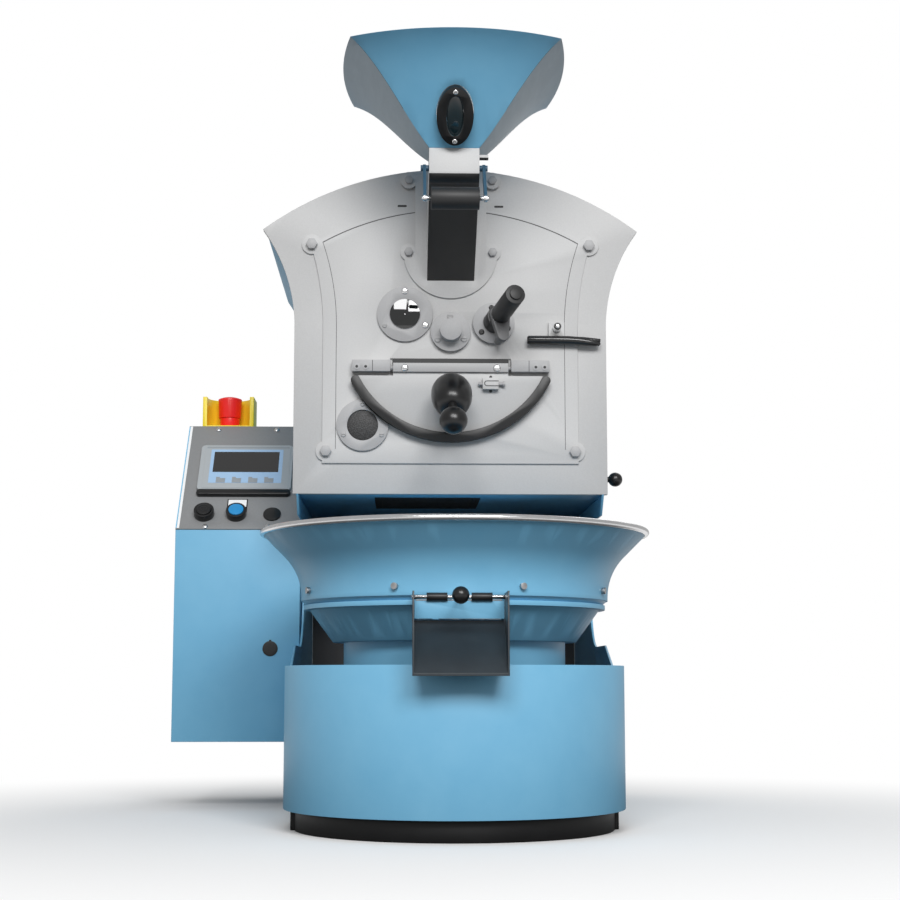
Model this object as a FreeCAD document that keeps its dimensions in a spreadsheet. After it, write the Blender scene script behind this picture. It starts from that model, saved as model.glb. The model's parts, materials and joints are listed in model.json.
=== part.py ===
"""Small coffee bean roaster: sheet metal base with a cooling bin, roasting body, hopper and control box.

Millimetres. X runs to the right, Y to the back and Z up, from the floor under the middle of the bin.
"""
import FreeCAD, Part
import math
import os
import Sketcher

# Sizes of the product, each one written once and read by every piece that needs it
SIZES = {
    "plinth_radius": 199, "plinth_height": 26, "rail_inner": 161, "rail_outer": 203, "rail_front": 22,
    "base_radius": 213, "base_sheet": 3, "base_lip_height": 201, "base_back": 640,
    "shelf_front": 93, "shelf_rise_end": 170, "shelf_height": 230,
    "bay_back": 345, "bay_corner": 72, "bay_drop": 27, "bay_top_front": 204, "bay_top_corner": 26,
    "deck_height": 183, "deck_sheet": 3, "back_panel_place": 580,
    "body_bottom": 438, "body_half": 218, "flare_rise": 3, "flare_radius": 244, "shoulder_half": 264,
    "shoulder_rise": 147, "crown_radius": 437, "body_inset": 3, "body_sheet": 2,
    "plate_front": 177, "plate_thick": 12, "rear_plate_thick": 6, "bulkhead_place": 530,
    "bulkhead_thick": 8, "floor_sheet": 3,
    "vent_left": 106, "vent_right": 44, "vent_front": 225, "vent_depth": 160, "vent_sheet": 2,
    "drum_rise": 227, "drum_radius": 150, "drum_sheet": 3, "drum_front_gap": 14, "drum_length": 310,
    "drum_hub": 30, "drum_web": 6, "vane_depth": 26, "vane_sheet": 3, "shaft_radius": 10,
    "frame_thick": 3, "frame_half": 178, "frame_drop": 185, "frame_flare": 422, "frame_top_half": 196,
    "frame_crown": 380, "lobe_radius": 14, "frame_bolt_low_half": 173, "frame_bolt_low_drop": 168,
    "frame_bolt_high_half": 195, "frame_bolt_high_rise": 125, "frame_bolt_flats": 14, "bolt_head": 6,
    "chute_plate_thick": 3, "chute_plate_half": 50, "chute_plate_rise": 225,
    "chute_plate_round": 66, "chute_bolt_half": 59, "chute_bolt_low_rise": 114, "chute_bolt_high_rise": 218,
    "chute_bolt_flats": 11, "chute_bolt_head": 5, "chute_lobe": 12,
    "duct_half": 33, "duct_sheet": 2, "duct_front": -4, "duct_outlet_back": 58, "duct_rise": 210,
    "duct_nose_drop": 45, "duct_floor_drop": 137, "duct_roof_drop": 33, "duct_nose_round": 14,
    "hopper_tall": 121, "hopper_half": 138, "hopper_front_half": 135, "hopper_front": 82, "hopper_rear": 189,
    "hopper_bulge": 35, "hopper_side_bulge": 12, "hopper_sheet": 2,
    "hopper_knee_one": 0.34, "hopper_knee_two": 0.63, "hopper_step_one": 44, "hopper_step_two": 84,
    "window_rise": 33, "window_long": 40, "window_wide": 24, "window_tilt": 40, "window_place": 37,
    "glass_long": 27, "glass_wide": 11, "window_thick": 12, "window_glass_thick": 8,
    "gate_axis_place": 5, "gate_axis_drop": 25, "gate_rod": 4, "gate_flap": 52, "gate_flap_sheet": 2,
    "gate_flap_lean": 22, "stub_drop": 10, "stub_radius": 3.7, "stub_reach": 12,
    "bail_gap": 4, "bail_sheet": 4, "bail_width": 10, "bail_angle": 137.6, "bail_length": 74.2,
    "grip_radius": 14.5, "grip_pin": 3, "grip_half": 31,
    "sight_side": 64, "sight_rise": 25, "sight_radius": 39, "sight_thick": 4, "glass_radius": 21.5,
    "cap_radius": 28, "cap_thick": 7, "cap_boss_radius": 15.3, "cap_boss_reach": 24, "cap_skin": 5,
    "trier_side": 60, "trier_rise": 12.5, "trier_flange_radius": 29, "trier_boss_radius": 16,
    "trier_boss_start": 5, "trier_boss_reach": 30, "trier_yaw": 12, "trier_pitch": 8.6, "scoop_radius": 8,
    "scoop_length": 150, "collar_half": 14, "collar_foot": 8, "collar_reach": 30, "collar_lean": 5,
    "collar_thick": 9, "collar_pin": 5.5,
    "collar_pin_length": 20, "scoop_end": 8, "scoop_solid": 30, "trier_grip_radius": 13.5,
    "trier_grip_length": 76, "trier_neck_length": 10,
    "air_side": 122, "air_drop": 132, "air_radius": 36, "air_thick": 4, "mesh_radius": 21.5,
    "lever_side": 148, "lever_pivot_rise": 5, "lever_rod_drop": 17, "lever_rod_radius": 5,
    "lever_left": 107, "lever_right": 209, "lever_tab_half": 11, "lever_tab_thick": 5,
    "lever_screw_radius": 3.5,
    "door_radius": 143, "door_shoulder_drop": 63, "door_thick": 8, "door_hole_radius": 126,
    "band_width": 13, "band_thick": 14, "band_half_angle": 62,
    "hinge_drop": 52, "hinge_bar_half": 80, "hinge_bar_tall": 12.4, "hinge_bar_thick": 12,
    "hinge_pin_radius": 3, "hinge_pin_reach": 14, "hinge_block_inner": 84, "hinge_block_outer": 137,
    "hinge_block_tall": 16, "hinge_block_thick": 14, "slot_rise": 14.5, "slot_half": 84,
    "weight_radius": 29, "weight_angle": 30, "weight_drop": 71, "weight_rod": 6, "weight_boss": 11,
    "weight_boss_reach": 8, "weight_base": 27, "weight_middle": 46, "weight_tip": 67,
    "weight_base_radius": 19, "weight_tip_radius": 20,
    "ball_radius": 18.5, "ball_place": 148,
    "latch_side": 55, "latch_drop": 75, "latch_rod": 2.5, "latch_length": 34, "latch_guide_half": 11,
    "latch_guide_tall": 16, "latch_guide_reach": 9,
    "side_knob_place": 204, "side_knob_rise": 24, "side_knob_root": 20, "side_knob_radius": 10,
    "side_knob_rod": 4,
    "side_knob_reach": 7,
    "band_radius": 193.5, "band_bottom": 281, "bell_start": 286, "bell_curve": 72, "bell_sheet": 2,
    "rim_height": 367, "rim_wire": 4, "ring_radius": 186, "bead_radius": 190, "bead_top": 276,
    "bead_bottom": 270, "cone_top_radius": 182.5, "cone_bottom_radius": 153, "cone_bottom": 230,
    "neck_radius": 139.5, "cone_sheet": 2, "bin_floor_height": 252, "bin_floor_sheet": 2,
    "slot_long": 18, "slot_wide": 2.4, "slot_step": 24, "slot_first": 40, "slot_rays": 18,
    "bin_screw_height": 292, "bin_screw_radius": 4, "bin_screw_head": 4,
    "hub_radius": 20, "hub_height": 44, "arm_radius": 6, "arm_length": 142, "arm_height": 281,
    "blade_tall": 24, "blade_long": 58, "blade_sheet": 3, "blade_turn": 28, "agitator_shaft": 8,
    "gearbox_radius": 38, "gearbox_height": 34, "spider_width": 26, "spider_sheet": 5,
    "fan_radius": 124, "fan_sheet": 3, "fan_bottom": 60, "fan_motor_radius": 42, "impeller_radius": 104,
    "impeller_height": 60, "impeller_plate": 4, "impeller_gap": 14, "fan_blade_sheet": 3,
    "fan_shaft": 7, "fan_duct_half": 50,
    "tray_half": 54.5, "tray_front": 252, "tray_top": 283, "tray_bottom": 188, "tray_sheet": 2,
    "tray_ledge": 186, "tray_back": 150, "outlet_half": 50,
    "gate_shaft_place": 199, "gate_shaft_height": 278.5, "gate_shaft_radius": 3, "gate_plate_tall": 25,
    "gate_plate_sheet": 2, "gate_lug_half": 12, "gate_lug_radius": 5, "gate_lug_side": 26,
    "gate_arm_reach": 45, "gate_arm_radius": 2.4, "bin_knob_radius": 10,
    "box_outer": 397, "box_inner": 215, "box_front": 321, "box_bottom": 95, "box_knee": 400,
    "box_back": 600, "box_sheet": 2, "panel_angle": 39.7, "panel_length": 224, "panel_sheet": 2,
    "panel_margin": 5, "display_wide": 140, "display_tall": 108, "display_thick": 8, "display_left": 373,
    "display_low": 66,
    "black_button_side": 357.5, "blue_button_side": 310.5, "plug_side": 258, "button_row": 29,
    "bezel_radius": 14.7, "bezel_bore": 11.2, "bezel_thick": 11, "button_radius": 11, "button_out": 12.5,
    "button_stem": 22, "plug_radius": 13, "plug_thick": 3,
    "stop_side": 338, "stop_place": 492, "shroud_half": 39.5, "shroud_tall": 48, "shroud_deep": 54,
    "shroud_floor": 3, "shroud_wall": 6.5, "stop_radius": 18.5, "stop_collar_radius": 15,
    "stop_collar_tall": 20, "stop_neck_radius": 9, "stop_travel": 4, "stop_head_tall": 34,
    "stop_skirt_drop": 5.5,
    "exhaust_radius": 38, "exhaust_sheet": 2, "exhaust_length": 60,
    "exhaust_rise": 125, "motor_radius": 45, "coupling_radius": 18,
    "coupling_length": 22, "running_gap": 0.05, "flat_gap": 0.3, "cooler_pipe_radius": 50,
    "cooler_pipe_length": 75, "cooler_pipe_height": 110,
}

doc = FreeCAD.newDocument("CoffeeRoaster")
sheet = doc.addObject("Spreadsheet::Sheet", "Sizes")
for row, (size_name, size_number) in enumerate(SIZES.items(), start=1):
    sheet.set(f"A{row}", size_name)
    sheet.set(f"B{row}", str(size_number))
    sheet.setAlias(f"B{row}", size_name)
doc.recompute()

NODES = {}


class Size:
    """A number of the sheet, or one worked out from several, with the expression that says how."""

    def __init__(self, number, text):
        self.number = float(number)
        self.text = text

    def __add__(self, other):
        other = as_size(other)
        return Size(self.number + other.number, f"({self.text} + {other.text})")

    def __radd__(self, other):
        return as_size(other) + self

    def __sub__(self, other):
        other = as_size(other)
        return Size(self.number - other.number, f"({self.text} - {other.text})")

    def __rsub__(self, other):
        return as_size(other) - self

    def __mul__(self, other):
        other = as_size(other)
        return Size(self.number * other.number, f"({self.text} * {other.text})")

    def __rmul__(self, other):
        return as_size(other) * self

    def __truediv__(self, other):
        other = as_size(other)
        return Size(self.number / other.number, f"({self.text} / {other.text})")

    def __neg__(self):
        return Size(-self.number, f"(0 - {self.text})")


def as_size(value):
    """Take a Size as it is and wrap a bare number."""
    if isinstance(value, Size):
        return value
    return Size(value, f"({float(value)})")


def root(value):
    """Square root of a size."""
    return Size(math.sqrt(value.number), f"sqrt({value.text})")


def sine(angle):
    """Sine of an angle in degrees."""
    return Size(math.sin(math.radians(angle.number)), f"sin({angle.text} * 1 deg)")


def cosine(angle):
    """Cosine of an angle in degrees."""
    return Size(math.cos(math.radians(angle.number)), f"cos({angle.text} * 1 deg)")


class Sheet:
    """Gives each cell of the sheet as a Size."""

    def __getattr__(self, name):
        return Size(SIZES[name], f"Sizes.{name}")


s = Sheet()


def bind(thing, prop, value):
    """Tie a property of an object to its expression."""
    thing.setExpression(prop, as_size(value).text)


def place(thing, at, turn=(0, 0, 1, 0)):
    """Put an object at a point, turned about an axis by an angle in degrees."""
    axis = FreeCAD.Vector(*turn[:3])
    spot = FreeCAD.Vector(*[as_size(value).number for value in at])
    thing.Placement = FreeCAD.Placement(spot, FreeCAD.Rotation(axis, as_size(turn[3]).number))
    for letter, value in zip("xyz", at):
        bind(thing, f"Placement.Base.{letter}", value)
    if isinstance(turn[3], Size):
        bind(thing, "Placement.Rotation.Angle", turn[3])
    return thing


TURNS = {"z": (0, 0, 1, 0), "y": (1, 0, 0, -90), "-y": (1, 0, 0, 90), "x": (0, 1, 0, 90)}


def box(name, size, at):
    """A block with its lowest corner at a point."""
    thing = doc.addObject("Part::Box", name)
    for prop, value in zip(("Length", "Width", "Height"), size):
        bind(thing, prop, value)
    return place(thing, at)


def cylinder(name, radius, height, at, turn="z"):
    """A cylinder that grows from a point along an axis."""
    thing = doc.addObject("Part::Cylinder", name)
    bind(thing, "Radius", radius)
    bind(thing, "Height", height)
    return place(thing, at, TURNS.get(turn, turn))


def cone(name, low, high, height, at, turn="z"):
    """A cone or cone frustum that grows from a point along an axis."""
    thing = doc.addObject("Part::Cone", name)
    bind(thing, "Radius1", low)
    bind(thing, "Radius2", high)
    bind(thing, "Height", height)
    return place(thing, at, TURNS.get(turn, turn))


def sphere(name, radius, at):
    """A ball round a point."""
    thing = doc.addObject("Part::Sphere", name)
    bind(thing, "Radius", radius)
    return place(thing, at)


def hexagon(name, flats, height, at, turn="-y"):
    """A hexagon head of a size across flats."""
    thing = doc.addObject("Part::Prism", name)
    thing.Polygon = 6
    bind(thing, "Circumradius", flats / math.sqrt(3))
    bind(thing, "Height", height)
    return place(thing, at, TURNS.get(turn, turn))


def fuse(name, parts):
    """One solid out of several that touch."""
    thing = doc.addObject("Part::MultiFuse", name)
    thing.Shapes = parts
    thing.Refine = True
    return thing


def cut(name, base, tool):
    """A solid with another taken out of it."""
    thing = doc.addObject("Part::Cut", name)
    thing.Base = base
    thing.Tool = tool
    thing.Refine = True
    return thing


def group(name, parts):
    """Alike pieces that stay separate solids in one sub-part."""
    thing = doc.addObject("Part::Compound", name)
    thing.Links = parts
    return thing


def node(label, thing):
    """Name an object as a sub-part of the product."""
    thing.Label = label
    NODES[label] = thing
    return thing


def body(label):
    """A new body that is a sub-part."""
    return node(label, doc.addObject("PartDesign::Body", label + "_body"))


def plane_sketch(owner, name, role, offset=0):
    """A sketch on one of the origin planes of its body, moved along the plane's normal."""
    sketch = owner.newObject("Sketcher::SketchObject", name)
    planes = [item for item in owner.Origin.OriginFeatures if item.Role == role]
    sketch.AttachmentSupport = [(planes[0], "")]
    sketch.MapMode = "FlatFace"
    bind(sketch, "AttachmentOffset.Base.z", offset)
    return sketch


def fix_point(sketch, curve, end, spot):
    """Hold one end of a curve at a place given by two sizes."""
    for kind, value, axis in (("DistanceX", spot[0], -2), ("DistanceY", spot[1], -1)):
        value = as_size(value)
        if value.number == 0 and "Sizes" not in value.text:
            sketch.addConstraint(Sketcher.Constraint("PointOnObject", curve, end, axis))
            continue
        index = sketch.addConstraint(Sketcher.Constraint(kind, curve, end, value.number))
        bind(sketch, f"Constraints[{index}]", value)


def point_of(spot):
    """A sketch point as a vector."""
    return FreeCAD.Vector(as_size(spot[0]).number, as_size(spot[1]).number, 0)


def outline(sketch, corners):
    """Draw a closed outline. A corner is (x, y), or (x, y, radius, side) for an arc that ends there.

    The side is 1 where the arc's middle lies left of the way it goes and -1 where it lies right.
    """
    ends = []
    for index, corner in enumerate(corners):
        start = point_of(corners[index - 1])
        stop = point_of(corner)
        if len(corner) == 2:
            curve = sketch.addGeometry(Part.LineSegment(start, stop), False)
            ends.append((curve, 1, 2))
            continue
        radius = as_size(corner[2])
        chord = stop - start
        left = FreeCAD.Vector(-chord.y, chord.x, 0).normalize()
        rise = math.sqrt(max(radius.number ** 2 - (chord.Length / 2) ** 2, 0))
        middle = (start + stop) * 0.5 + left * (rise * corner[3])
        first, last = (start, stop) if corner[3] == 1 else (stop, start)
        angles = [math.atan2(spot.y - middle.y, spot.x - middle.x) for spot in (first, last)]
        circle = Part.Circle(middle, FreeCAD.Vector(0, 0, 1), radius.number)
        curve = sketch.addGeometry(Part.ArcOfCircle(circle, angles[0], angles[1]), False)
        ends.append((curve, 1, 2) if corner[3] == 1 else (curve, 2, 1))
        limit = sketch.addConstraint(Sketcher.Constraint("Radius", curve, radius.number))
        bind(sketch, f"Constraints[{limit}]", radius)
    for index, (curve, _, end) in enumerate(ends):
        following = ends[(index + 1) % len(ends)]
        sketch.addConstraint(Sketcher.Constraint("Coincident", curve, end, following[0], following[1]))
    for (curve, _, end), corner in zip(ends, corners):
        fix_point(sketch, curve, end, corner)
    return sketch


def circles(sketch, rings):
    """Draw circles given as (x, y, radius)."""
    for across, up, radius in rings:
        radius = as_size(radius)
        circle = Part.Circle(point_of((across, up)), FreeCAD.Vector(0, 0, 1), radius.number)
        curve = sketch.addGeometry(circle, False)
        limit = sketch.addConstraint(Sketcher.Constraint("Radius", curve, radius.number))
        bind(sketch, f"Constraints[{limit}]", radius)
        fix_point(sketch, curve, 3, (across, up))
    return sketch


def rectangle(sketch, left, right, low, high):
    """Draw an upright rectangle."""
    return outline(sketch, [(left, low), (right, low), (right, high), (left, high)])


def pad(owner, sketch, length, middle=False, back=False):
    """Grow a sketch into a solid."""
    feature = owner.newObject("PartDesign::Pad", "Pad")
    feature.Profile = sketch
    bind(feature, "Length", length)
    feature.Midplane = middle
    feature.Reversed = back
    owner.Tip = feature
    return feature


def pocket(owner, sketch, length, middle=False, back=False):
    """Cut a sketch out of a solid."""
    feature = owner.newObject("PartDesign::Pocket", "Pocket")
    feature.Profile = sketch
    bind(feature, "Length", length)
    feature.Midplane = middle
    feature.Reversed = back
    owner.Tip = feature
    return feature


def revolve(owner, sketch, kind="PartDesign::Revolution"):
    """Turn a sketch all the way round the vertical axis of its plane."""
    feature = owner.newObject(kind, "Turned")
    feature.Profile = sketch
    feature.ReferenceAxis = (sketch, ["V_Axis"])
    feature.Angle = 360
    owner.Tip = feature
    return feature


def polar(owner, feature, count):
    """Repeat a feature round the upright axis of its body."""
    pattern = owner.newObject("PartDesign::PolarPattern", "Round")
    pattern.Originals = [feature]
    pattern.Axis = ([item for item in owner.Origin.OriginFeatures if item.Role == "Z_Axis"][0], [""])
    pattern.Angle = 360
    bind(pattern, "Occurrences", count)
    owner.Tip = pattern
    return pattern


# Heights on the roasting body, measured from its bottom, the drum's axis, the duct's top or the hinge
drum_height = s.body_bottom + s.drum_rise
bay_top = s.body_bottom - s.bay_drop
side_knob_height = s.body_bottom + s.side_knob_rise
flare_start = drum_height + s.flare_rise
shoulder_height = drum_height + s.shoulder_rise
frame_bottom = drum_height - s.frame_drop
frame_bolt_low = drum_height - s.frame_bolt_low_drop
frame_bolt_high = drum_height + s.frame_bolt_high_rise
chute_plate_top = drum_height + s.chute_plate_rise
chute_bolt_low = drum_height + s.chute_bolt_low_rise
chute_bolt_high = drum_height + s.chute_bolt_high_rise
duct_top = drum_height + s.duct_rise
duct_nose = duct_top - s.duct_nose_drop
duct_floor_rear = duct_top - s.duct_floor_drop
duct_roof_rear = duct_top - s.duct_roof_drop
window_height = duct_top + s.window_rise
gate_axis_height = duct_top - s.gate_axis_drop
sight_height = drum_height + s.sight_rise
trier_height = drum_height + s.trier_rise
air_height = drum_height - s.air_drop
lever_pivot_height = drum_height + s.lever_pivot_rise
lever_rod_height = lever_pivot_height - s.lever_rod_drop
door_shoulder = drum_height - s.door_shoulder_drop
hinge_height = drum_height - s.hinge_drop
slot_top = hinge_height + s.slot_rise
weight_height = drum_height - s.weight_drop
latch_height = drum_height - s.latch_drop
exhaust_height = drum_height + s.exhaust_rise

# Places that several pieces share
frame_front = s.plate_front - s.frame_thick
chute_front = frame_front - s.chute_plate_thick
plate_back = s.plate_front + s.plate_thick
body_side = s.body_half - s.body_inset
crown_middle = shoulder_height - root(s.crown_radius * s.crown_radius - s.shoulder_half * s.shoulder_half)
floor_top = s.body_bottom + s.floor_sheet
base_top = s.plinth_height
hinge_place = frame_front - s.flat_gap - s.hinge_bar_thick / 2
door_back = frame_front - s.flat_gap
door_front = door_back - s.door_thick
door_top = hinge_height - s.hinge_bar_tall / 2


def base_plan(sketch, inset, back):
    """Round front and straight sides of the base, seen from above."""
    side = s.base_radius - inset
    return outline(sketch, [
        (-side, back), (-side, 0), (0, -side, side, 1), (side, 0, side, 1), (side, back),
    ])


def body_section(sketch, inset, low):
    """Section of the roasting body: upright sides that flare out under an arched top."""
    side = s.body_half - inset
    flare = s.flare_radius + inset
    corner = s.shoulder_half - inset * 1.39
    height = shoulder_height - inset * 0.2
    return outline(sketch, [
        (-side, low), (side, low), (side, flare_start), (corner, height, flare, -1),
        (-corner, height, s.crown_radius - inset, 1), (-side, flare_start, flare, -1),
    ])


def half_moon(sketch, radius, top):
    """Part of a circle round the drum's axis that lies under a level line."""
    drop = drum_height - top
    half = root(radius * radius - drop * drop)
    return outline(sketch, [(-half, top), (half, top, radius, 1)])


def face_holes(owner, depth, front):
    """Cut the openings that run through the face frame and the front plate behind it."""
    door = plane_sketch(owner, "DoorHole", "XZ_Plane", -front)
    pocket(owner, half_moon(door, s.door_hole_radius, door_shoulder - 4), depth)
    feed = plane_sketch(owner, "FeedHole", "XZ_Plane", -front)
    inner = s.duct_half - s.duct_sheet
    rectangle(feed, -inner, inner, duct_floor_rear + s.duct_sheet, duct_roof_rear - s.duct_sheet)
    pocket(owner, feed, depth)
    bores = plane_sketch(owner, "Bores", "XZ_Plane", -front)
    circles(bores, [
        (-s.sight_side, sight_height, s.glass_radius + s.flat_gap),
        (s.trier_side, trier_height, s.scoop_radius + 6),
        (0, drum_height, s.shaft_radius + 2),
        (-s.air_side, air_height, s.mesh_radius - 2),
    ])
    pocket(owner, bores, depth)


# Plinth: a black disc under the round front and two rails under the sides
disc = cylinder("PlinthDisc", s.plinth_radius, s.plinth_height, (0, 0, 0))
rails = []
for side, left in (("Left", -s.rail_outer), ("Right", s.rail_inner)):
    length = s.base_back - s.base_sheet + s.rail_front
    rails.append(box(f"Rail{side}", (s.rail_outer - s.rail_inner, length, s.plinth_height),
                     (left, -s.rail_front, 0)))
node("base_plinth", fuse("Plinth", [disc] + rails))

# Base shell: one bent sheet with the bay for the cooling bin cut out of its sides
shell = body("base_shell")
plan = base_plan(plane_sketch(shell, "Plan", "XY_Plane", base_top), 0, s.base_back)
pad(shell, plan, s.body_bottom - base_top)
inside = base_plan(plane_sketch(shell, "Inside", "XY_Plane", base_top), s.base_sheet, s.base_back + 1)
pocket(shell, inside, s.body_bottom - base_top, back=True)
bay = plane_sketch(shell, "Bay", "YZ_Plane")
front_limit = -s.base_radius - 10
outline(bay, [
    (front_limit, s.base_lip_height), (s.shelf_front, s.base_lip_height),
    (s.shelf_rise_end, s.shelf_height), (s.bay_back - s.bay_corner, s.shelf_height),
    (s.bay_back, s.shelf_height + s.bay_corner, s.bay_corner, 1),
    (s.bay_back, bay_top - s.bay_top_corner),
    (s.bay_back - s.bay_top_corner, bay_top, s.bay_top_corner, 1),
    (s.bay_top_front, bay_top), (s.plate_front, s.body_bottom), (front_limit, s.body_bottom),
])
pocket(shell, bay, s.base_radius * 2 + 10, middle=True)

# Deck that closes the base round the bin's neck
deck = body("base_deck")
deck_plan = plane_sketch(deck, "Plan", "XY_Plane", s.deck_height)
base_plan(deck_plan, s.base_sheet + s.flat_gap, s.back_panel_place - s.flat_gap)
pad(deck, deck_plan, s.deck_sheet)
deck_hole = circles(plane_sketch(deck, "Hole", "XY_Plane", s.deck_height), [(0, 0, s.fan_radius - 8)])
pocket(deck, deck_hole, s.deck_sheet, back=True)

# Back panel of the base with the hole of the cooling air pipe
panel_half = s.base_radius - s.base_sheet - s.flat_gap
panel_sheet = box("BackSheet", (panel_half * 2, s.base_sheet, s.body_bottom - base_top),
                  (-panel_half, s.back_panel_place, base_top))
pipe_hole = cylinder("PipeHole", s.cooler_pipe_radius - s.exhaust_sheet, s.base_sheet * 3,
                     (0, s.back_panel_place - s.base_sheet, s.cooler_pipe_height), "y")


def pipe(name, radius, start, length, height):
    """A short open pipe that points to the back."""
    outer = cylinder(name + "Outer", radius, length, (0, start, height), "y")
    bore = cylinder(name + "Bore", radius - s.exhaust_sheet, length + 2, (0, start - 1, height), "y")
    return cut(name, outer, bore)


node("base_back_panel", group("BackPanelAndPipe", [
    cut("BackPanel", panel_sheet, pipe_hole),
    pipe("CoolerPipe", s.cooler_pipe_radius, s.back_panel_place + s.base_sheet, s.cooler_pipe_length,
         s.cooler_pipe_height)]))

# Body shell: the bent cover between the front plate and the rear plate
cover = body("body_shell")
cover_length = s.base_back - plate_back
pad(cover, body_section(plane_sketch(cover, "Outside", "XZ_Plane", -s.base_back), s.body_inset,
                        s.body_bottom), cover_length)
pocket(cover, body_section(plane_sketch(cover, "Inside", "XZ_Plane", -s.base_back),
                           s.body_inset + s.body_sheet, s.body_bottom - 1), cover_length + 2, middle=False,
       back=True)
knob_hole = circles(plane_sketch(cover, "KnobHole", "YZ_Plane", body_side),
                    [(s.side_knob_place, side_knob_height, s.side_knob_rod + s.running_gap)])
pocket(cover, knob_hole, s.body_sheet * 2)

# Floor of the body, with the opening for the air vent
under = body("body_floor")
floor_half = body_side - s.body_sheet - s.flat_gap
under_plan = plane_sketch(under, "Plan", "XY_Plane", s.body_bottom)
pad(under, rectangle(under_plan, -floor_half, floor_half, plate_back, s.base_back), s.floor_sheet)
vent_plan = plane_sketch(under, "Vent", "XY_Plane", s.body_bottom)
rectangle(vent_plan, -s.vent_left, s.vent_right, s.vent_front, s.vent_front + s.vent_depth)
pocket(under, vent_plan, s.floor_sheet, back=True)

# Vent grille: a frame with bars that drops into the opening
grille = body("vent_grille")
grille_plan = plane_sketch(grille, "Plan", "XY_Plane", s.body_bottom)
rectangle(grille_plan, -s.vent_left + s.flat_gap, s.vent_right - s.flat_gap,
          s.vent_front + s.flat_gap, s.vent_front + s.vent_depth - s.flat_gap)
pad(grille, grille_plan, s.vent_sheet)
grille_gap = plane_sketch(grille, "Gap", "XY_Plane", s.body_bottom)
grille_step = s.vent_depth / 16
rectangle(grille_gap, -s.vent_left + grille_step, s.vent_right - grille_step,
          s.vent_front + grille_step, s.vent_front + grille_step * 1.6)
gap_cut = pocket(grille, grille_gap, s.vent_sheet, back=True)
bars = grille.newObject("PartDesign::LinearPattern", "Bars")
bars.Originals = [gap_cut]
bars.Direction = (grille_gap, ["V_Axis"])
bind(bars, "Length", grille_step * 13)
bars.Occurrences = 14
grille.Tip = bars

# Front plate with the openings behind the door, the chute and the fittings
front = body("front_plate")
pad(front, body_section(plane_sketch(front, "Outside", "XZ_Plane", -plate_back), 0, s.body_bottom),
    s.plate_thick)
face_holes(front, s.plate_thick, s.plate_front)

# Raised face frame with a lobe round each bolt and the recess behind the hinge
frame = doc.addObject("PartDesign::Body", "FrameBody")
frame_top = crown_middle + root(s.frame_crown * s.frame_crown - s.frame_top_half * s.frame_top_half)
frame_outline = plane_sketch(frame, "Outline", "XZ_Plane", -s.plate_front)
outline(frame_outline, [
    (-s.frame_half, frame_bottom), (s.frame_half, frame_bottom), (s.frame_half, flare_start),
    (s.frame_top_half, frame_top, s.frame_flare, -1), (-s.frame_top_half, frame_top, s.frame_crown, 1),
    (-s.frame_half, flare_start, s.frame_flare, -1),
])
pad(frame, frame_outline, s.frame_thick)
frame_bolts = [(side * half, height) for half, height in (
    (s.frame_bolt_low_half, frame_bolt_low), (s.frame_bolt_high_half, frame_bolt_high))
    for side in (-1, 1)]
lobes = plane_sketch(frame, "Lobes", "XZ_Plane", -s.plate_front)
pad(frame, circles(lobes, [(x, z, s.lobe_radius) for x, z in frame_bolts]), s.frame_thick)
face_holes(frame, s.frame_thick, frame_front)
recess = plane_sketch(frame, "HingeRecess", "XZ_Plane", -frame_front)
pocket(frame, rectangle(recess, -s.slot_half, s.slot_half, door_shoulder, slot_top), s.frame_thick)

# Chute plate: straight sides, a round bottom and a lobe round each of its four bolts
mount = body("chute_plate")
mount_outline = plane_sketch(mount, "Outline", "XZ_Plane", -frame_front)
round_low = chute_bolt_low - s.chute_plate_round
outline(mount_outline, [
    (-s.chute_plate_round, chute_bolt_low), (0, round_low, s.chute_plate_round, 1),
    (s.chute_plate_round, chute_bolt_low, s.chute_plate_round, 1),
    (s.chute_plate_half, chute_bolt_low), (s.chute_plate_half, chute_plate_top),
    (-s.chute_plate_half, chute_plate_top), (-s.chute_plate_half, chute_bolt_low),
])
pad(mount, mount_outline, s.chute_plate_thick)
chute_bolts = [(side * s.chute_bolt_half, height)
               for height in (chute_bolt_low, chute_bolt_high) for side in (-1, 1)]
mount_lobes = plane_sketch(mount, "Lobes", "XZ_Plane", -frame_front)
pad(mount, circles(mount_lobes, [(x, z, s.chute_lobe) for x, z in chute_bolts]), s.chute_plate_thick)
mount_foot = plane_sketch(mount, "Foot", "XZ_Plane", -s.plate_front)
rectangle(mount_foot, -s.chute_plate_half, s.chute_plate_half, crown_middle + s.frame_crown + s.flat_gap,
          chute_plate_top)
pad(mount, mount_foot, s.frame_thick)
mount_hole = plane_sketch(mount, "Hole", "XZ_Plane", -chute_front)
mount_inner = s.duct_half - s.duct_sheet
rectangle(mount_hole, -mount_inner, mount_inner, duct_floor_rear + s.duct_sheet,
          duct_roof_rear - s.duct_sheet)
pocket(mount, mount_hole, s.chute_plate_thick + s.frame_thick)

node("face_bolts", group("FaceBolts", [
    hexagon(f"FaceBolt{index}", s.frame_bolt_flats, s.bolt_head, (x, frame_front, z))
    for index, (x, z) in enumerate(frame_bolts)]))
node("chute_bolts", group("ChuteBolts", [
    hexagon(f"ChuteBolt{index}", s.chute_bolt_flats, s.chute_bolt_head, (x, chute_front, z))
    for index, (x, z) in enumerate(chute_bolts)]))

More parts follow.
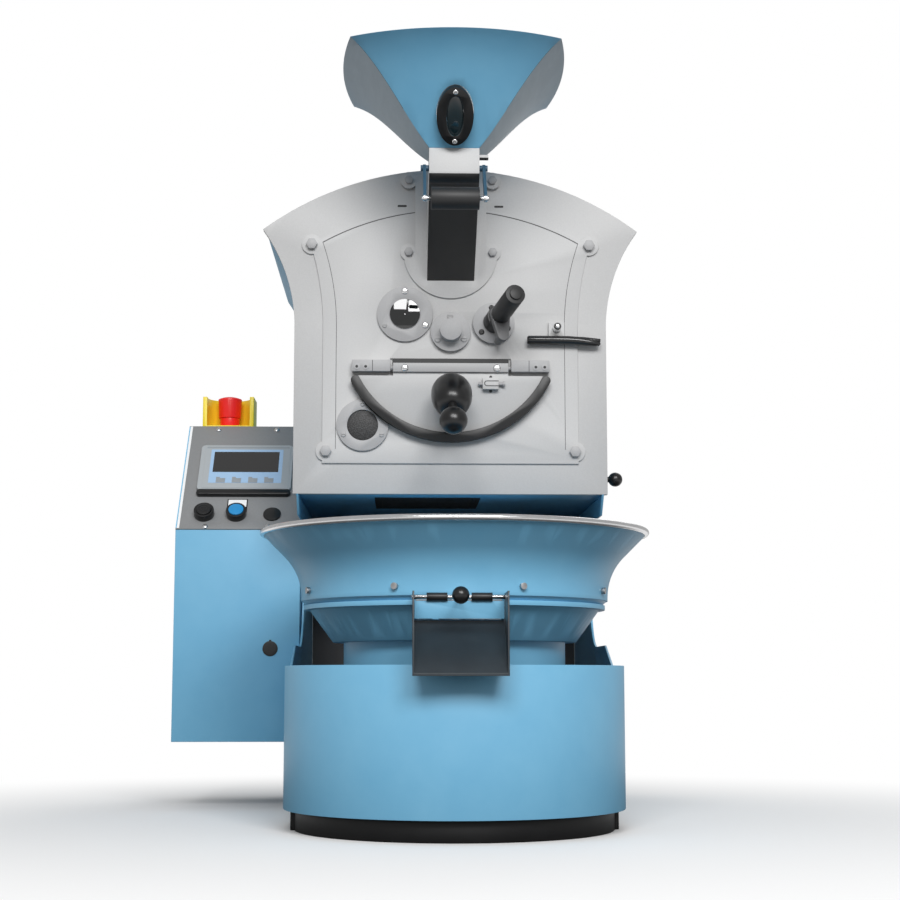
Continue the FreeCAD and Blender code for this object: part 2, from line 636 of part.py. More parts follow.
# Feed chute: a bent duct that runs from under the hopper down to the plate
duct = body("feed_chute")
duct_side = plane_sketch(duct, "Side", "YZ_Plane")
nose_back = s.duct_front + s.duct_nose_round
outline(duct_side, [
    (chute_front, duct_floor_rear), (chute_front, duct_roof_rear), (s.duct_outlet_back, duct_top),
    (s.duct_front, duct_top), (s.duct_front, duct_nose + s.duct_nose_round),
    (nose_back, duct_nose, s.duct_nose_round, 1),
])
pad(duct, duct_side, s.duct_half * 2, middle=True)
duct_bore = plane_sketch(duct, "Bore", "YZ_Plane")
outline(duct_bore, [
    (chute_front + 1, duct_floor_rear + s.duct_sheet), (chute_front + 1, duct_roof_rear - s.duct_sheet),
    (s.duct_outlet_back - s.duct_sheet, duct_top - s.duct_sheet),
    (s.duct_outlet_back - s.duct_sheet, duct_top + 1), (s.duct_front + s.duct_sheet, duct_top + 1),
    (s.duct_front + s.duct_sheet, duct_nose + s.duct_nose_round),
    (nose_back, duct_nose + s.duct_sheet, s.duct_nose_round - s.duct_sheet, 1),
])
pocket(duct, duct_bore, (s.duct_half - s.duct_sheet) * 2, middle=True)
rod_holes = plane_sketch(duct, "RodHoles", "YZ_Plane")
circles(rod_holes, [(s.gate_axis_place, gate_axis_height, s.gate_rod + s.running_gap)])
pocket(duct, rod_holes, s.duct_half * 2 + 2, middle=True)
stub = plane_sketch(duct, "Stub", "YZ_Plane", s.duct_half - 1)
pad(duct, circles(stub, [(s.gate_axis_place, duct_top - s.stub_drop, s.stub_radius)]), s.stub_reach + 1)


def bulged(sketch, share, inset):
    """Section of the hopper: a rectangle whose sides bow out by a share of the full bulge."""
    half = s.duct_half + (s.hopper_half - s.duct_half) * share - inset
    front_half = s.duct_half + (s.hopper_front_half - s.duct_half) * share - inset
    low = s.duct_front - (s.hopper_front + s.duct_front) * share + inset
    high = s.duct_outlet_back + (s.hopper_rear - s.duct_outlet_back) * share - inset
    if as_size(share).number == 0:
        return rectangle(sketch, -half, half, low, high)
    long_bow = s.hopper_bulge * share
    side_bow = s.hopper_side_bulge * share
    deep = root((high - low) * (high - low) + (half - front_half) * (half - front_half)) / 2
    front_round = (front_half * front_half + long_bow * long_bow) / (long_bow * 2)
    rear_round = (half * half + long_bow * long_bow) / (long_bow * 2)
    side_round = (deep * deep + side_bow * side_bow) / (side_bow * 2)
    return outline(sketch, [
        (-front_half, low, side_round, 1), (front_half, low, front_round, 1), (half, high, side_round, 1),
        (-half, high, rear_round, 1),
    ])


def hopper_loft(owner, kind, inset):
    """Join the hopper's sections into one curved flare."""
    levels = ((0, 0), (s.hopper_step_one, s.hopper_knee_one), (s.hopper_step_two, s.hopper_knee_two),
              (s.hopper_tall, 1))
    sections = [bulged(plane_sketch(owner, f"{kind}Section", "XY_Plane", duct_top + rise), share, inset)
                for rise, share in levels]
    feature = owner.newObject(f"PartDesign::{kind}Loft", kind + "Flare")
    feature.Profile = sections[0]
    feature.Sections = sections[1:]
    owner.Tip = feature


def oval(name, long_half, wide_half, length, out):
    """An oval plug square to the hopper's front wall, from a depth along the wall's normal."""
    ellipse = Part.Ellipse(FreeCAD.Vector(0, long_half.number, 0), FreeCAD.Vector(wide_half.number, 0, 0),
                           FreeCAD.Vector(0, 0, 0))
    thing = doc.addObject("Part::Feature", name)
    thing.Shape = Part.Face(Part.Wire([ellipse.toShape()])).extrude(FreeCAD.Vector(0, 0, length.number))
    across = -s.window_place - cosine(s.window_tilt) * out
    height = window_height - sine(s.window_tilt) * out
    return place(thing, (0, across, height), (1, 0, 0, s.window_tilt + 90))


# Hopper: a lofted bell with an oval window let into its front wall
bell = doc.addObject("PartDesign::Body", "HopperBody")
hopper_loft(bell, "Additive", as_size(0))
hopper_loft(bell, "Subtractive", s.hopper_sheet)
window_hole = oval("WindowHole", s.window_long + s.flat_gap, s.window_wide + s.flat_gap,
                   s.window_thick * 2, -s.window_thick)
node("hopper", cut("Hopper", bell, window_hole))
window_back = s.window_thick * 0.6
window_frame = oval("WindowFrame", s.window_long, s.window_wide, s.window_thick, -window_back)
glass_hole = oval("GlassHole", s.glass_long + s.flat_gap / 3, s.glass_wide + s.flat_gap / 3,
                  s.window_thick * 2, -s.window_thick)
window_glass = oval("HopperGlass", s.glass_long, s.glass_wide, s.window_glass_thick, -window_back)
node("hopper_window", group("WindowAndGlass", [cut("HopperWindow", window_frame, glass_hole), window_glass]))

# Feed gate: a flap on a rod inside the duct, swung by a bail outside it
rod_half = s.duct_half + s.bail_gap + s.bail_sheet
gate_at = (s.gate_axis_place, gate_axis_height)
bail_turn = (1, 0, 0, s.bail_angle)
grip_at = (gate_at[0] - sine(s.bail_angle) * s.bail_length, gate_at[1] + cosine(s.bail_angle) * s.bail_length)
flap_half = s.duct_half - s.duct_sheet - s.flat_gap * 2
flap_at = (-flap_half, gate_at[0], gate_at[1] - s.gate_flap_sheet / 2)
flap = box("GateFlap", (flap_half * 2, s.gate_flap, s.gate_flap_sheet), flap_at)
place(flap, flap_at, (1, 0, 0, s.gate_flap_lean))
gate_parts = [
    cylinder("GateRod", s.gate_rod, rod_half * 2 + 6, (-rod_half - 3, *gate_at), "x"),
    flap,
]
for side, left in (("Left", -rod_half), ("Right", rod_half - s.bail_sheet)):
    arm_low = (left, gate_at[0] - cosine(s.bail_angle) * s.bail_width / 2,
               gate_at[1] - sine(s.bail_angle) * s.bail_width / 2)
    arm = box(f"Bail{side}", (s.bail_sheet, s.bail_width, s.bail_length), arm_low)
    place(arm, arm_low, bail_turn)
    eye = cylinder(f"BailEye{side}", s.bail_width / 2, s.bail_sheet, (left, *gate_at), "x")
    foot = cylinder(f"BailFoot{side}", s.bail_width / 2, s.bail_sheet, (left, *grip_at), "x")
    gate_parts += [arm, eye, foot]
gate_parts.append(cylinder("GripPin", s.grip_pin, rod_half * 2 + 4, (-rod_half - 2, *grip_at), "x"))
node("feed_gate", fuse("FeedGate", gate_parts))
grip_solid = cylinder("GripSolid", s.grip_radius, s.grip_half * 2, (-s.grip_half, *grip_at), "x")
grip_bore = cylinder("GripBore", s.grip_pin + s.running_gap, s.grip_half * 2 + 2,
                     (-s.grip_half - 1, *grip_at), "x")
node("feed_grip", cut("FeedGrip", grip_solid, grip_bore))

# Sight glass in its flange
sight_ring = cylinder("SightRing", s.sight_radius, s.sight_thick,
                      (-s.sight_side, frame_front, sight_height), "-y")
sight_bore = cylinder("SightBore", s.glass_radius + s.running_gap, s.sight_thick * 3,
                      (-s.sight_side, frame_front + s.sight_thick, sight_height), "-y")
sight_lens = cylinder("SightLens", s.glass_radius, s.sight_thick + 6,
                      (-s.sight_side, frame_front + 5, sight_height), "-y")
node("sight_glass", group("SightGlass", [cut("SightFlange", sight_ring, sight_bore), sight_lens]))

# Front bearing of the drum: flange and blind boss
cap_ring = cylinder("CapRing", s.cap_radius, s.cap_thick, (0, frame_front, drum_height), "-y")
cap_boss = cylinder("CapBoss", s.cap_boss_radius, s.cap_boss_reach, (0, frame_front, drum_height), "-y")
cap_bore = cylinder("CapBore", s.shaft_radius + s.running_gap, s.cap_boss_reach,
                    (0, frame_front - s.cap_boss_reach + s.cap_skin, drum_height), "y")
node("bearing_cap", cut("BearingCap", fuse("CapSolid", [cap_ring, cap_boss]), cap_bore))

# Trier: the tasting scoop slides and turns in a bush that leans up and to the right
TRIER_OUT = FreeCAD.Vector(
    math.sin(math.radians(s.trier_yaw.number)) * math.cos(math.radians(s.trier_pitch.number)),
    -math.cos(math.radians(s.trier_yaw.number)) * math.cos(math.radians(s.trier_pitch.number)),
    math.sin(math.radians(s.trier_pitch.number)))
TRIER_UP = FreeCAD.Vector(0, 0, 1)
TRIER_SIDE = TRIER_UP.cross(TRIER_OUT)
trier_turn = FreeCAD.Rotation(TRIER_SIDE, FreeCAD.Vector(), TRIER_OUT, "ZXY")


def on_trier(thing, along, side=0, up=0):
    """Stand a piece on the trier's leaning axis, a distance out from the face frame."""
    root_point = FreeCAD.Vector(s.trier_side.number, frame_front.number, trier_height.number)
    shift = trier_turn.multVec(FreeCAD.Vector(as_size(side).number, as_size(up).number,
                                              as_size(along).number))
    thing.Placement = FreeCAD.Placement(root_point + shift, trier_turn)
    return thing


def trier_cylinder(name, radius, length, along):
    """A cylinder on the trier's axis."""
    return on_trier(cylinder_free(name, radius, length), along)


def cylinder_free(name, radius, length):
    """A cylinder whose place is set by the caller."""
    thing = doc.addObject("Part::Cylinder", name)
    bind(thing, "Radius", radius)
    bind(thing, "Height", length)
    return thing


trier_ring = cylinder("TrierRing", s.trier_flange_radius, s.cap_thick,
                      (s.trier_side, frame_front, trier_height),
                      "-y")
trier_boss = trier_cylinder("TrierBoss", s.trier_boss_radius, s.trier_boss_reach - s.trier_boss_start,
                             s.trier_boss_start)
trier_bore = trier_cylinder("TrierBore", s.scoop_radius + s.running_gap, s.trier_boss_reach * 4,
                            -s.trier_boss_reach * 2)
node("trier_flange", cut("TrierFlange", fuse("TrierSolid", [trier_ring, trier_boss]), trier_bore))

collar_start = s.trier_boss_reach + s.flat_gap
collar_solid = doc.addObject("PartDesign::Body", "CollarBody")
lean_side, lean_down = sine(s.collar_lean), cosine(s.collar_lean)


def on_collar(along, across):
    """Corner of the leaning collar: a distance down its length and one across it, as a sketch point."""
    return (lean_side * along + lean_down * across, lean_side * across - lean_down * along)


outline(plane_sketch(collar_solid, "Outline", "XY_Plane"), [
    on_collar(0, s.collar_half), (*on_collar(-s.collar_half, 0), s.collar_half, 1),
    (*on_collar(0, -s.collar_half), s.collar_half, 1), on_collar(s.collar_reach, -s.collar_foot),
    (*on_collar(s.collar_reach + s.collar_foot, 0), s.collar_foot, 1),
    (*on_collar(s.collar_reach, s.collar_foot), s.collar_foot, 1),
])
pad(collar_solid, collar_solid.Group[-1], s.collar_thick)
on_trier(collar_solid, collar_start)
collar_pin = cylinder_free("CollarPin", s.collar_pin, s.collar_pin_length)
on_trier(collar_pin, collar_start - s.collar_pin_length, *on_collar(s.collar_reach, 0))
collar_bore = trier_cylinder("CollarBore", s.scoop_radius + s.running_gap, s.collar_thick * 3,
                             collar_start - s.collar_thick)
node("trier_collar", cut("TrierCollar", fuse("CollarWhole", [collar_solid, collar_pin]), collar_bore))

grip_start = collar_start + s.collar_thick + s.flat_gap
scoop_rod = trier_cylinder("ScoopRod", s.scoop_radius, s.scoop_length + grip_start + s.trier_neck_length,
                           -s.scoop_length)
scoop_hollow = trier_cylinder("ScoopHollow", s.scoop_radius - 2, s.scoop_length - s.scoop_solid,
                              s.scoop_end - s.scoop_length)
scoop_window = doc.addObject("Part::Box", "ScoopWindow")
for prop, value in (("Length", s.scoop_radius * 2 + 2), ("Width", s.scoop_radius + 1),
                    ("Height", s.scoop_length - s.scoop_solid)):
    bind(scoop_window, prop, value)
on_trier(scoop_window, s.scoop_end - s.scoop_length, -s.scoop_radius - 1, 0)
node("trier_scoop", cut("TrierScoop", scoop_rod, fuse("ScoopCut", [scoop_hollow, scoop_window])))
handle_solid = trier_cylinder("TrierHandle", s.trier_grip_radius, s.trier_grip_length, grip_start)
handle_button = trier_cylinder("TrierButton", s.trier_grip_radius * 0.6, 3, grip_start + s.trier_grip_length)
handle_bore = trier_cylinder("TrierHandleBore", s.scoop_radius + s.running_gap, s.trier_neck_length + 1,
                             grip_start - 1)
node("trier_grip", cut("TrierGrip", fuse("HandleSolid", [handle_solid, handle_button]), handle_bore))

# Air inlet flange, bitten where the door's band passes it, with a mesh disc
air_ring = cylinder("AirRing", s.air_radius, s.air_thick, (-s.air_side, frame_front, air_height), "-y")
air_bite = cylinder("AirBite", s.door_radius + s.band_width + s.flat_gap * 4, s.air_thick * 3,
                    (0, frame_front + s.air_thick, drum_height), "-y")
air_bore = cylinder("AirBore", s.mesh_radius, s.air_thick * 3,
                    (-s.air_side, frame_front + s.air_thick, air_height), "-y")
air_flange = cut("AirFlange", air_ring, fuse("AirCut", [air_bite, air_bore]))
mesh_disc = cylinder("MeshDisc", s.mesh_radius - s.flat_gap, s.air_thick / 2,
                     (-s.air_side, frame_front, air_height), "-y")
mesh_bite = cylinder("MeshBite", s.door_radius + s.band_width + s.flat_gap * 4, s.air_thick * 3,
                     (0, frame_front + s.air_thick, drum_height), "-y")
node("air_flange", group("AirInlet", [air_flange, cut("AirMesh", mesh_disc, mesh_bite)]))

# Airflow lever: a tab that swings on a screw and carries a tapered rod
tab_top = lever_pivot_height + s.lever_tab_half * 0.8
tab_low = lever_rod_height - s.lever_rod_radius
tab_front = frame_front - s.flat_gap - s.lever_tab_thick
tab = box("LeverTab", (s.lever_tab_half * 2, s.lever_tab_thick, tab_top - tab_low),
          (s.lever_side - s.lever_tab_half, tab_front, tab_low))
rod_place = tab_front - s.lever_rod_radius * 0.6
rod_straight = (s.lever_right - s.lever_left) * 0.75
rod = cylinder("LeverRod", s.lever_rod_radius, rod_straight, (s.lever_left, rod_place, lever_rod_height), "x")
rod_tip = cone("LeverTip", s.lever_rod_radius, s.lever_rod_radius * 0.45,
               s.lever_right - s.lever_left - rod_straight,
               (s.lever_left + rod_straight, rod_place, lever_rod_height), "x")
screw_bore = cylinder("LeverBore", s.lever_screw_radius + s.running_gap, s.lever_tab_thick * 3,
                      (s.lever_side, frame_front + s.lever_tab_thick, lever_pivot_height), "-y")
node("air_lever", cut("AirLever", fuse("LeverSolid", [tab, rod, rod_tip]), screw_bore))
screw_body = cylinder("LeverScrewBody", s.lever_screw_radius, frame_front - tab_front + 1,
                      (s.lever_side, frame_front, lever_pivot_height), "-y")
screw_head = cylinder("LeverScrewHead", s.lever_screw_radius * 1.6, s.lever_screw_radius,
                      (s.lever_side, tab_front - s.flat_gap, lever_pivot_height), "-y")
node("face_frame", group("FrameAndScrew", [frame, fuse("LeverScrew", [screw_body, screw_head])]))

# Discharge door: a half-moon plate under its hinge bar
door = doc.addObject("PartDesign::Body", "DoorBody")
pad(door, half_moon(plane_sketch(door, "HalfMoon", "XZ_Plane", -door_back), s.door_radius, door_shoulder),
    s.door_thick)
door_neck = plane_sketch(door, "Neck", "XZ_Plane", -door_back)
rectangle(door_neck, -s.hinge_bar_half, s.hinge_bar_half, door_shoulder - 2, door_top)
pad(door, door_neck, s.door_thick)

# Band round the edge of the door, with rounded ends
band = body("door_band")
band_outer = s.door_radius + s.band_width


def on_band(radius, side):
    """End of an arc of the band, as a sketch point."""
    return (sine(s.band_half_angle) * radius * side, drum_height - cosine(s.band_half_angle) * radius)


band_sketch = plane_sketch(band, "Arc", "XZ_Plane", -door_back)
outline(band_sketch, [
    on_band(band_outer, -1), (*on_band(band_outer, 1), band_outer, 1), on_band(s.door_radius, 1),
    (*on_band(s.door_radius, -1), s.door_radius, -1),
])
pad(band, band_sketch, s.band_thick)
band_ends = plane_sketch(band, "Ends", "XZ_Plane", -door_front)
middle_radius = s.door_radius + s.band_width / 2
circles(band_ends, [(*on_band(middle_radius, side), s.band_width / 2) for side in (-1, 1)])
pad(band, band_ends, s.band_thick - s.door_thick)

# Hinge: bar and pin on the door, two bored blocks on the frame
bar = box("HingeBar", (s.hinge_bar_half * 2, s.hinge_bar_thick, s.hinge_bar_tall),
          (-s.hinge_bar_half, door_back - s.hinge_bar_thick, door_top))
pin_half = s.hinge_bar_half + s.hinge_pin_reach
pin = cylinder("HingePin", s.hinge_pin_radius, pin_half * 2, (-pin_half, hinge_place, hinge_height), "x")
node("door_hinge", fuse("DoorHinge", [bar, pin]))
block_low = door_top + s.flat_gap
blocks = [box(f"Block{side}",
              (s.hinge_block_outer - s.hinge_block_inner, s.hinge_block_thick, s.hinge_block_tall),
              (left, frame_front - s.hinge_block_thick, block_low))
          for side, left in (("Left", -s.hinge_block_outer), ("Right", s.hinge_block_inner))]
block_bore = cylinder("BlockBore", s.hinge_pin_radius + s.running_gap, pin_half * 2 + 2,
                      (-pin_half - 1, hinge_place, hinge_height), "x")
node("hinge_blocks", cut("HingeBlocks", group("BlockPair", blocks), block_bore))

# Counterweight handle: a turned bell with a ball at its end
weight = doc.addObject("PartDesign::Body", "WeightBody")
weight_profile = plane_sketch(weight, "Profile", "XZ_Plane")
outline(weight_profile, [
    (0, 4), (s.weight_rod, 4), (s.weight_rod, s.weight_base), (s.weight_base_radius, s.weight_base),
    (s.weight_radius, s.weight_middle, s.weight_radius, 1),
    (s.weight_tip_radius, s.weight_tip, s.weight_radius * 1.1, 1), (s.weight_rod * 1.4, s.weight_tip),
    (s.weight_rod * 1.4, s.ball_place), (0, s.ball_place),
])
revolve(weight, weight_profile)
place(weight, (0, door_front, weight_height), (1, 0, 0, s.weight_angle + 90))
ball_at = (0, door_front - cosine(s.weight_angle) * s.ball_place,
           weight_height - sine(s.weight_angle) * s.ball_place)
ball = sphere("WeightBall", s.ball_radius, ball_at)
boss = cylinder("WeightBoss", s.weight_boss, s.weight_boss_reach, (0, door_front, weight_height), "-y")
node("door_weight", fuse("DoorWeight", [weight, ball, boss]))

# Latch: a small bolt that slides in a guide on the door
latch_at = (door_front - s.latch_guide_reach / 2, latch_height)
guide = box("LatchBlock", (s.latch_guide_half * 2, s.latch_guide_reach, s.latch_guide_tall),
            (s.latch_side - s.latch_guide_half, door_front - s.latch_guide_reach,
             latch_height - s.latch_guide_tall / 2))
guide_bore = cylinder("LatchBore", s.latch_rod + s.running_gap, s.latch_guide_half * 4,
                      (s.latch_side - s.latch_guide_half * 2, *latch_at), "x")
node("discharge_door", group("DoorAndGuide", [door, cut("LatchGuide", guide, guide_bore)]))
latch_start = s.latch_side - s.latch_length / 2
latch_pin = cylinder("LatchPin", s.latch_rod, s.latch_length, (latch_start, *latch_at), "x")
latch_head = cylinder("LatchHead", s.latch_rod * 1.5, s.latch_rod * 1.2,
                      (latch_start + s.latch_length, *latch_at), "x")
node("latch_bolt", fuse("LatchBolt", [latch_pin, latch_head]))

# Damper knob on the right side: a ball on a rod that pulls out
knob_at = (s.side_knob_place, side_knob_height)
knob_rod = cylinder("SideRod", s.side_knob_rod, s.side_knob_root + s.side_knob_reach + s.side_knob_rod,
                    (body_side - s.side_knob_root, *knob_at), "x")
knob_ball = sphere("SideBall", s.side_knob_radius,
                   (body_side + s.side_knob_reach + s.side_knob_radius, *knob_at))
node("side_knob", fuse("SideKnob", [knob_rod, knob_ball]))

# Drum: shell, rear web and twisted lifting vanes, on a shaft through both bearings
drum_start = plate_back + s.drum_front_gap
drum_end = drum_start + s.drum_length
drum_outer = cylinder("DrumOuter", s.drum_radius, s.drum_length, (0, drum_start, drum_height), "y")
drum_inner = cylinder("DrumInner", s.drum_radius - s.drum_sheet, s.drum_length - s.drum_web + 1,
                      (0, drum_start - 1, drum_height), "y")
drum_hub = cylinder("DrumHub", s.drum_hub, s.drum_hub, (0, drum_end - s.drum_hub, drum_height), "y")


def vane(index):
    """One lifting vane: a strip inside the shell that twists along the drum."""
    outer = s.drum_radius.number - s.drum_sheet.number / 2
    strips = []
    for step in range(5):
        angle = math.radians(90 * index + 12 * step)
        radial = FreeCAD.Vector(math.cos(angle), 0, math.sin(angle))
        side = FreeCAD.Vector(-math.sin(angle), 0, math.cos(angle)) * (s.vane_sheet.number / 2)
        place_y = drum_start.number + 8 + (drum_end.number - drum_start.number - 20) * step / 4
        middle = FreeCAD.Vector(0, place_y, drum_height.number)
        top = middle + radial * outer
        low = middle + radial * (outer - s.vane_depth.number)
        strips.append(Part.makePolygon([top + side, low + side, low - side, top - side, top + side]))
    thing = doc.addObject("Part::Feature", f"Vane{index}")
    thing.Shape = Part.makeLoft(strips, True, True)
    return thing


drum_solid = fuse("DrumSolid",
                  [cut("DrumShell", drum_outer, drum_inner), drum_hub] + [vane(i) for i in range(4)])
drum_bore = cylinder("DrumBore", s.shaft_radius, s.drum_length, (0, drum_start + 1, drum_height), "y")
node("drum_shell", cut("DrumWhole", drum_solid, drum_bore))
shaft_start = frame_front - s.cap_boss_reach + s.cap_skin + s.flat_gap
bulkhead_back = s.bulkhead_place + s.bulkhead_thick
shaft_end = bulkhead_back + s.flat_gap * 4 + s.coupling_length
shaft = cylinder("Shaft", s.shaft_radius, shaft_end - shaft_start, (0, shaft_start, drum_height), "y")
coupling = cylinder("Coupling", s.coupling_radius, s.coupling_length,
                    (0, shaft_end - s.coupling_length, drum_height), "y")
node("drum_shaft", fuse("DrumShaft", [shaft, coupling]))

# Bulkhead with the rear bearing, rear plate, motor and exhaust pipe
bulkhead = body("bulkhead")
wall_inset = s.body_inset + s.body_sheet + s.flat_gap
pad(bulkhead,
    body_section(plane_sketch(bulkhead, "Outline", "XZ_Plane", -bulkhead_back), wall_inset, floor_top),
    s.bulkhead_thick)
bearing = plane_sketch(bulkhead, "Bearing", "XZ_Plane", -s.bulkhead_place)
pocket(bulkhead, circles(bearing, [(0, drum_height, s.shaft_radius + s.running_gap)]), s.bulkhead_thick)
rear = body("rear_plate")
rear_back = s.base_back + s.rear_plate_thick
pad(rear, body_section(plane_sketch(rear, "Outline", "XZ_Plane", -rear_back), s.body_inset, s.body_bottom),
    s.rear_plate_thick)
flue = plane_sketch(rear, "Flue", "XZ_Plane", -s.base_back)
pocket(rear, circles(flue, [(0, exhaust_height, s.exhaust_radius - s.exhaust_sheet)]), s.rear_plate_thick)
node("exhaust_collar", pipe("ExhaustCollar", s.exhaust_radius, rear_back, s.exhaust_length, exhaust_height))
motor_start = shaft_end + s.flat_gap * 3
node("drum_motor", cylinder("DrumMotor", s.motor_radius, s.base_back - motor_start,
                            (0, motor_start, drum_height), "y"))

# Cooling bin: a spun bell whose wall leans out at the end of a straight band
bin_bell = body("bin_bell")
bell_profile = plane_sketch(bin_bell, "Profile", "XZ_Plane")
bell_inner_curve = s.bell_curve + s.bell_sheet
half_turn = math.sqrt(0.5)
curve_out = s.band_radius + s.bell_curve * (1 - half_turn)
curve_up = s.bell_start + s.bell_curve * half_turn
inner_out = s.band_radius - s.bell_sheet + bell_inner_curve * (1 - half_turn)
inner_up = s.bell_start + bell_inner_curve * half_turn
outline(bell_profile, [
    (s.band_radius - s.bell_sheet, s.band_bottom), (s.band_radius, s.band_bottom),
    (s.band_radius, s.bell_start),
    (curve_out, curve_up, s.bell_curve, -1), (curve_out + s.rim_height - curve_up, s.rim_height),
    (inner_out + s.rim_height - inner_up, s.rim_height),
    (inner_out, inner_up), (s.band_radius - s.bell_sheet, s.bell_start, bell_inner_curve, 1),
])
revolve(bin_bell, bell_profile)
rim = doc.addObject("Part::Torus", "Rim")
rim_out = curve_out + s.rim_height - curve_up - s.bell_sheet
bind(rim, "Radius1", rim_out)
bind(rim, "Radius2", s.rim_wire)
place(rim, (0, 0, s.rim_height))
node("bin_rim", cut("BinRim", rim, bin_bell))

# Lower part of the bin: ring, bead, cone and neck, open at the front to the tray
bin_cone = body("bin_cone")
cone_profile = plane_sketch(bin_cone, "Profile", "XZ_Plane")
outline(cone_profile, [
    (s.neck_radius - s.cone_sheet, s.deck_height + s.deck_sheet),
    (s.neck_radius, s.deck_height + s.deck_sheet),
    (s.neck_radius, s.cone_bottom), (s.cone_bottom_radius, s.cone_bottom), (s.cone_top_radius, s.bead_bottom),
    (s.bead_radius, s.bead_bottom), (s.bead_radius, s.bead_top), (s.ring_radius, s.bead_top),
    (s.ring_radius + 6, s.band_bottom), (s.ring_radius - s.cone_sheet, s.band_bottom),
    (s.cone_top_radius - s.cone_sheet * 1.2, s.bead_bottom),
    (s.cone_bottom_radius - s.cone_sheet * 1.2, s.cone_bottom + s.cone_sheet),
    (s.neck_radius - s.cone_sheet, s.cone_bottom + s.cone_sheet),
])
revolve(bin_cone, cone_profile)
outlet = plane_sketch(bin_cone, "Outlet", "XZ_Plane", s.neck_radius)
floor_face = s.bin_floor_height + s.bin_floor_sheet
rectangle(outlet, -s.outlet_half, s.outlet_half, floor_face, s.band_bottom + 1)
pocket(bin_cone, outlet, s.bead_radius, back=True)

# Perforated floor of the bin: rays of slots
cone_lean = (s.cone_top_radius - s.cone_bottom_radius) / (s.bead_bottom - s.cone_bottom)
floor_radius = (s.cone_bottom_radius - s.cone_sheet * 1.2 - s.flat_gap * 1.5
                + cone_lean * (s.bin_floor_height - s.cone_bottom - s.cone_sheet))
bin_floor = body("bin_floor")
floor_plan = circles(plane_sketch(bin_floor, "Plan", "XY_Plane", s.bin_floor_height),
                     [(0, 0, floor_radius), (0, 0, s.agitator_shaft * 1.4)])
pad(bin_floor, floor_plan, s.bin_floor_sheet)
ray = plane_sketch(bin_floor, "Ray", "XY_Plane", s.bin_floor_height)
for index in range(5):
    start = s.slot_first + s.slot_step * index
    rectangle(ray, start, start + s.slot_long, -s.slot_wide / 2, s.slot_wide / 2)
ray_cut = pocket(bin_floor, ray, s.bin_floor_sheet, back=True)
polar(bin_floor, ray_cut, s.slot_rays)

# Eight cap screws round the band
bin_screws = []
for index in range(8):
    angle = 22.5 + 45 * index
    spot = (math.cos(math.radians(angle)) * s.band_radius, math.sin(math.radians(angle)) * s.band_radius,
            s.bin_screw_height)
    head = cylinder(f"BinScrew{index}", s.bin_screw_radius, s.bin_screw_head + 1, spot)
    head.Placement = FreeCAD.Placement(head.Placement.Base, FreeCAD.Rotation(
        FreeCAD.Vector(0, 0, 1),
        FreeCAD.Vector(math.cos(math.radians(angle)), math.sin(math.radians(angle)), 0)))
    bin_screws.append(cut(f"BinScrewSeated{index}", head, bin_bell))
node("bin_screws", group("BinScrews", bin_screws))

# Agitator: hub, three arms and leaning blades that sweep the floor, on one shaft
hub_low = floor_face + s.flat_gap * 5
agitator_parts = [
    cylinder("HubBase", s.hub_radius, s.hub_height * 0.7, (0, 0, hub_low)),
    cone("HubTop", s.hub_radius, s.hub_radius * 0.45, s.hub_height * 0.3,
         (0, 0, hub_low + s.hub_height * 0.7)),
    cylinder("AgitatorShaft", s.agitator_shaft, hub_low - s.cone_bottom + s.gearbox_height / 4,
             (0, 0, s.cone_bottom - s.gearbox_height / 4)),
]
for index in range(3):
    angle = 90 + 120 * index
    heading = FreeCAD.Rotation(FreeCAD.Vector(0, 0, 1), angle)
    arm = cylinder(f"Arm{index}", s.arm_radius, s.arm_length, (0, 0, s.arm_height), "x")
    arm.Placement = FreeCAD.Placement(arm.Placement.Base, heading * arm.Placement.Rotation)
    for spot, name in ((0.36, "Inner"), (0.8, "Outer")):
        blade = doc.addObject("Part::Box", f"Blade{name}{index}")
        for prop, value in (("Length", s.blade_long), ("Width", s.blade_sheet), ("Height", s.blade_tall)):
            bind(blade, prop, value)
        lean = heading * FreeCAD.Rotation(FreeCAD.Vector(0, 0, 1), s.blade_turn.number)
        offset = FreeCAD.Vector(s.arm_length.number * spot, 0, 0)
        middle = lean.multVec(FreeCAD.Vector(-s.blade_long.number / 2, -s.blade_sheet.number / 2, 0))
        spot_at = heading.multVec(offset) + middle + FreeCAD.Vector(0, 0, hub_low.number)
        blade.Placement = FreeCAD.Placement(spot_at, lean)
        agitator_parts.append(blade)
    agitator_parts.append(arm)
node("agitator", fuse("Agitator", agitator_parts))

# Gearbox of the agitator, hung on a spider across the neck
gearbox_top = s.cone_bottom + s.cone_sheet
gearbox = cylinder("Gearbox", s.gearbox_radius, s.gearbox_height, (0, 0, gearbox_top - s.gearbox_height))
neck_inner = s.neck_radius - s.cone_sheet
spider_half = root(neck_inner * neck_inner - s.spider_width * s.spider_width / 4) - s.flat_gap
spider_low = gearbox_top - s.gearbox_height
spider = [box("SpiderAcross", (spider_half * 2, s.spider_width, s.spider_sheet),
              (-spider_half, -s.spider_width / 2, spider_low)),
          box("SpiderAlong", (s.spider_width, spider_half * 2, s.spider_sheet),
              (-s.spider_width / 2, -spider_half, spider_low))]
gearbox_bore = cylinder("GearboxBore", s.agitator_shaft + s.running_gap, s.gearbox_height,
                        (0, 0, s.cone_bottom - s.gearbox_height / 4 - s.flat_gap))
node("agitator_gearbox", cut("GearboxWhole", fuse("GearboxSolid", [gearbox] + spider), gearbox_bore))

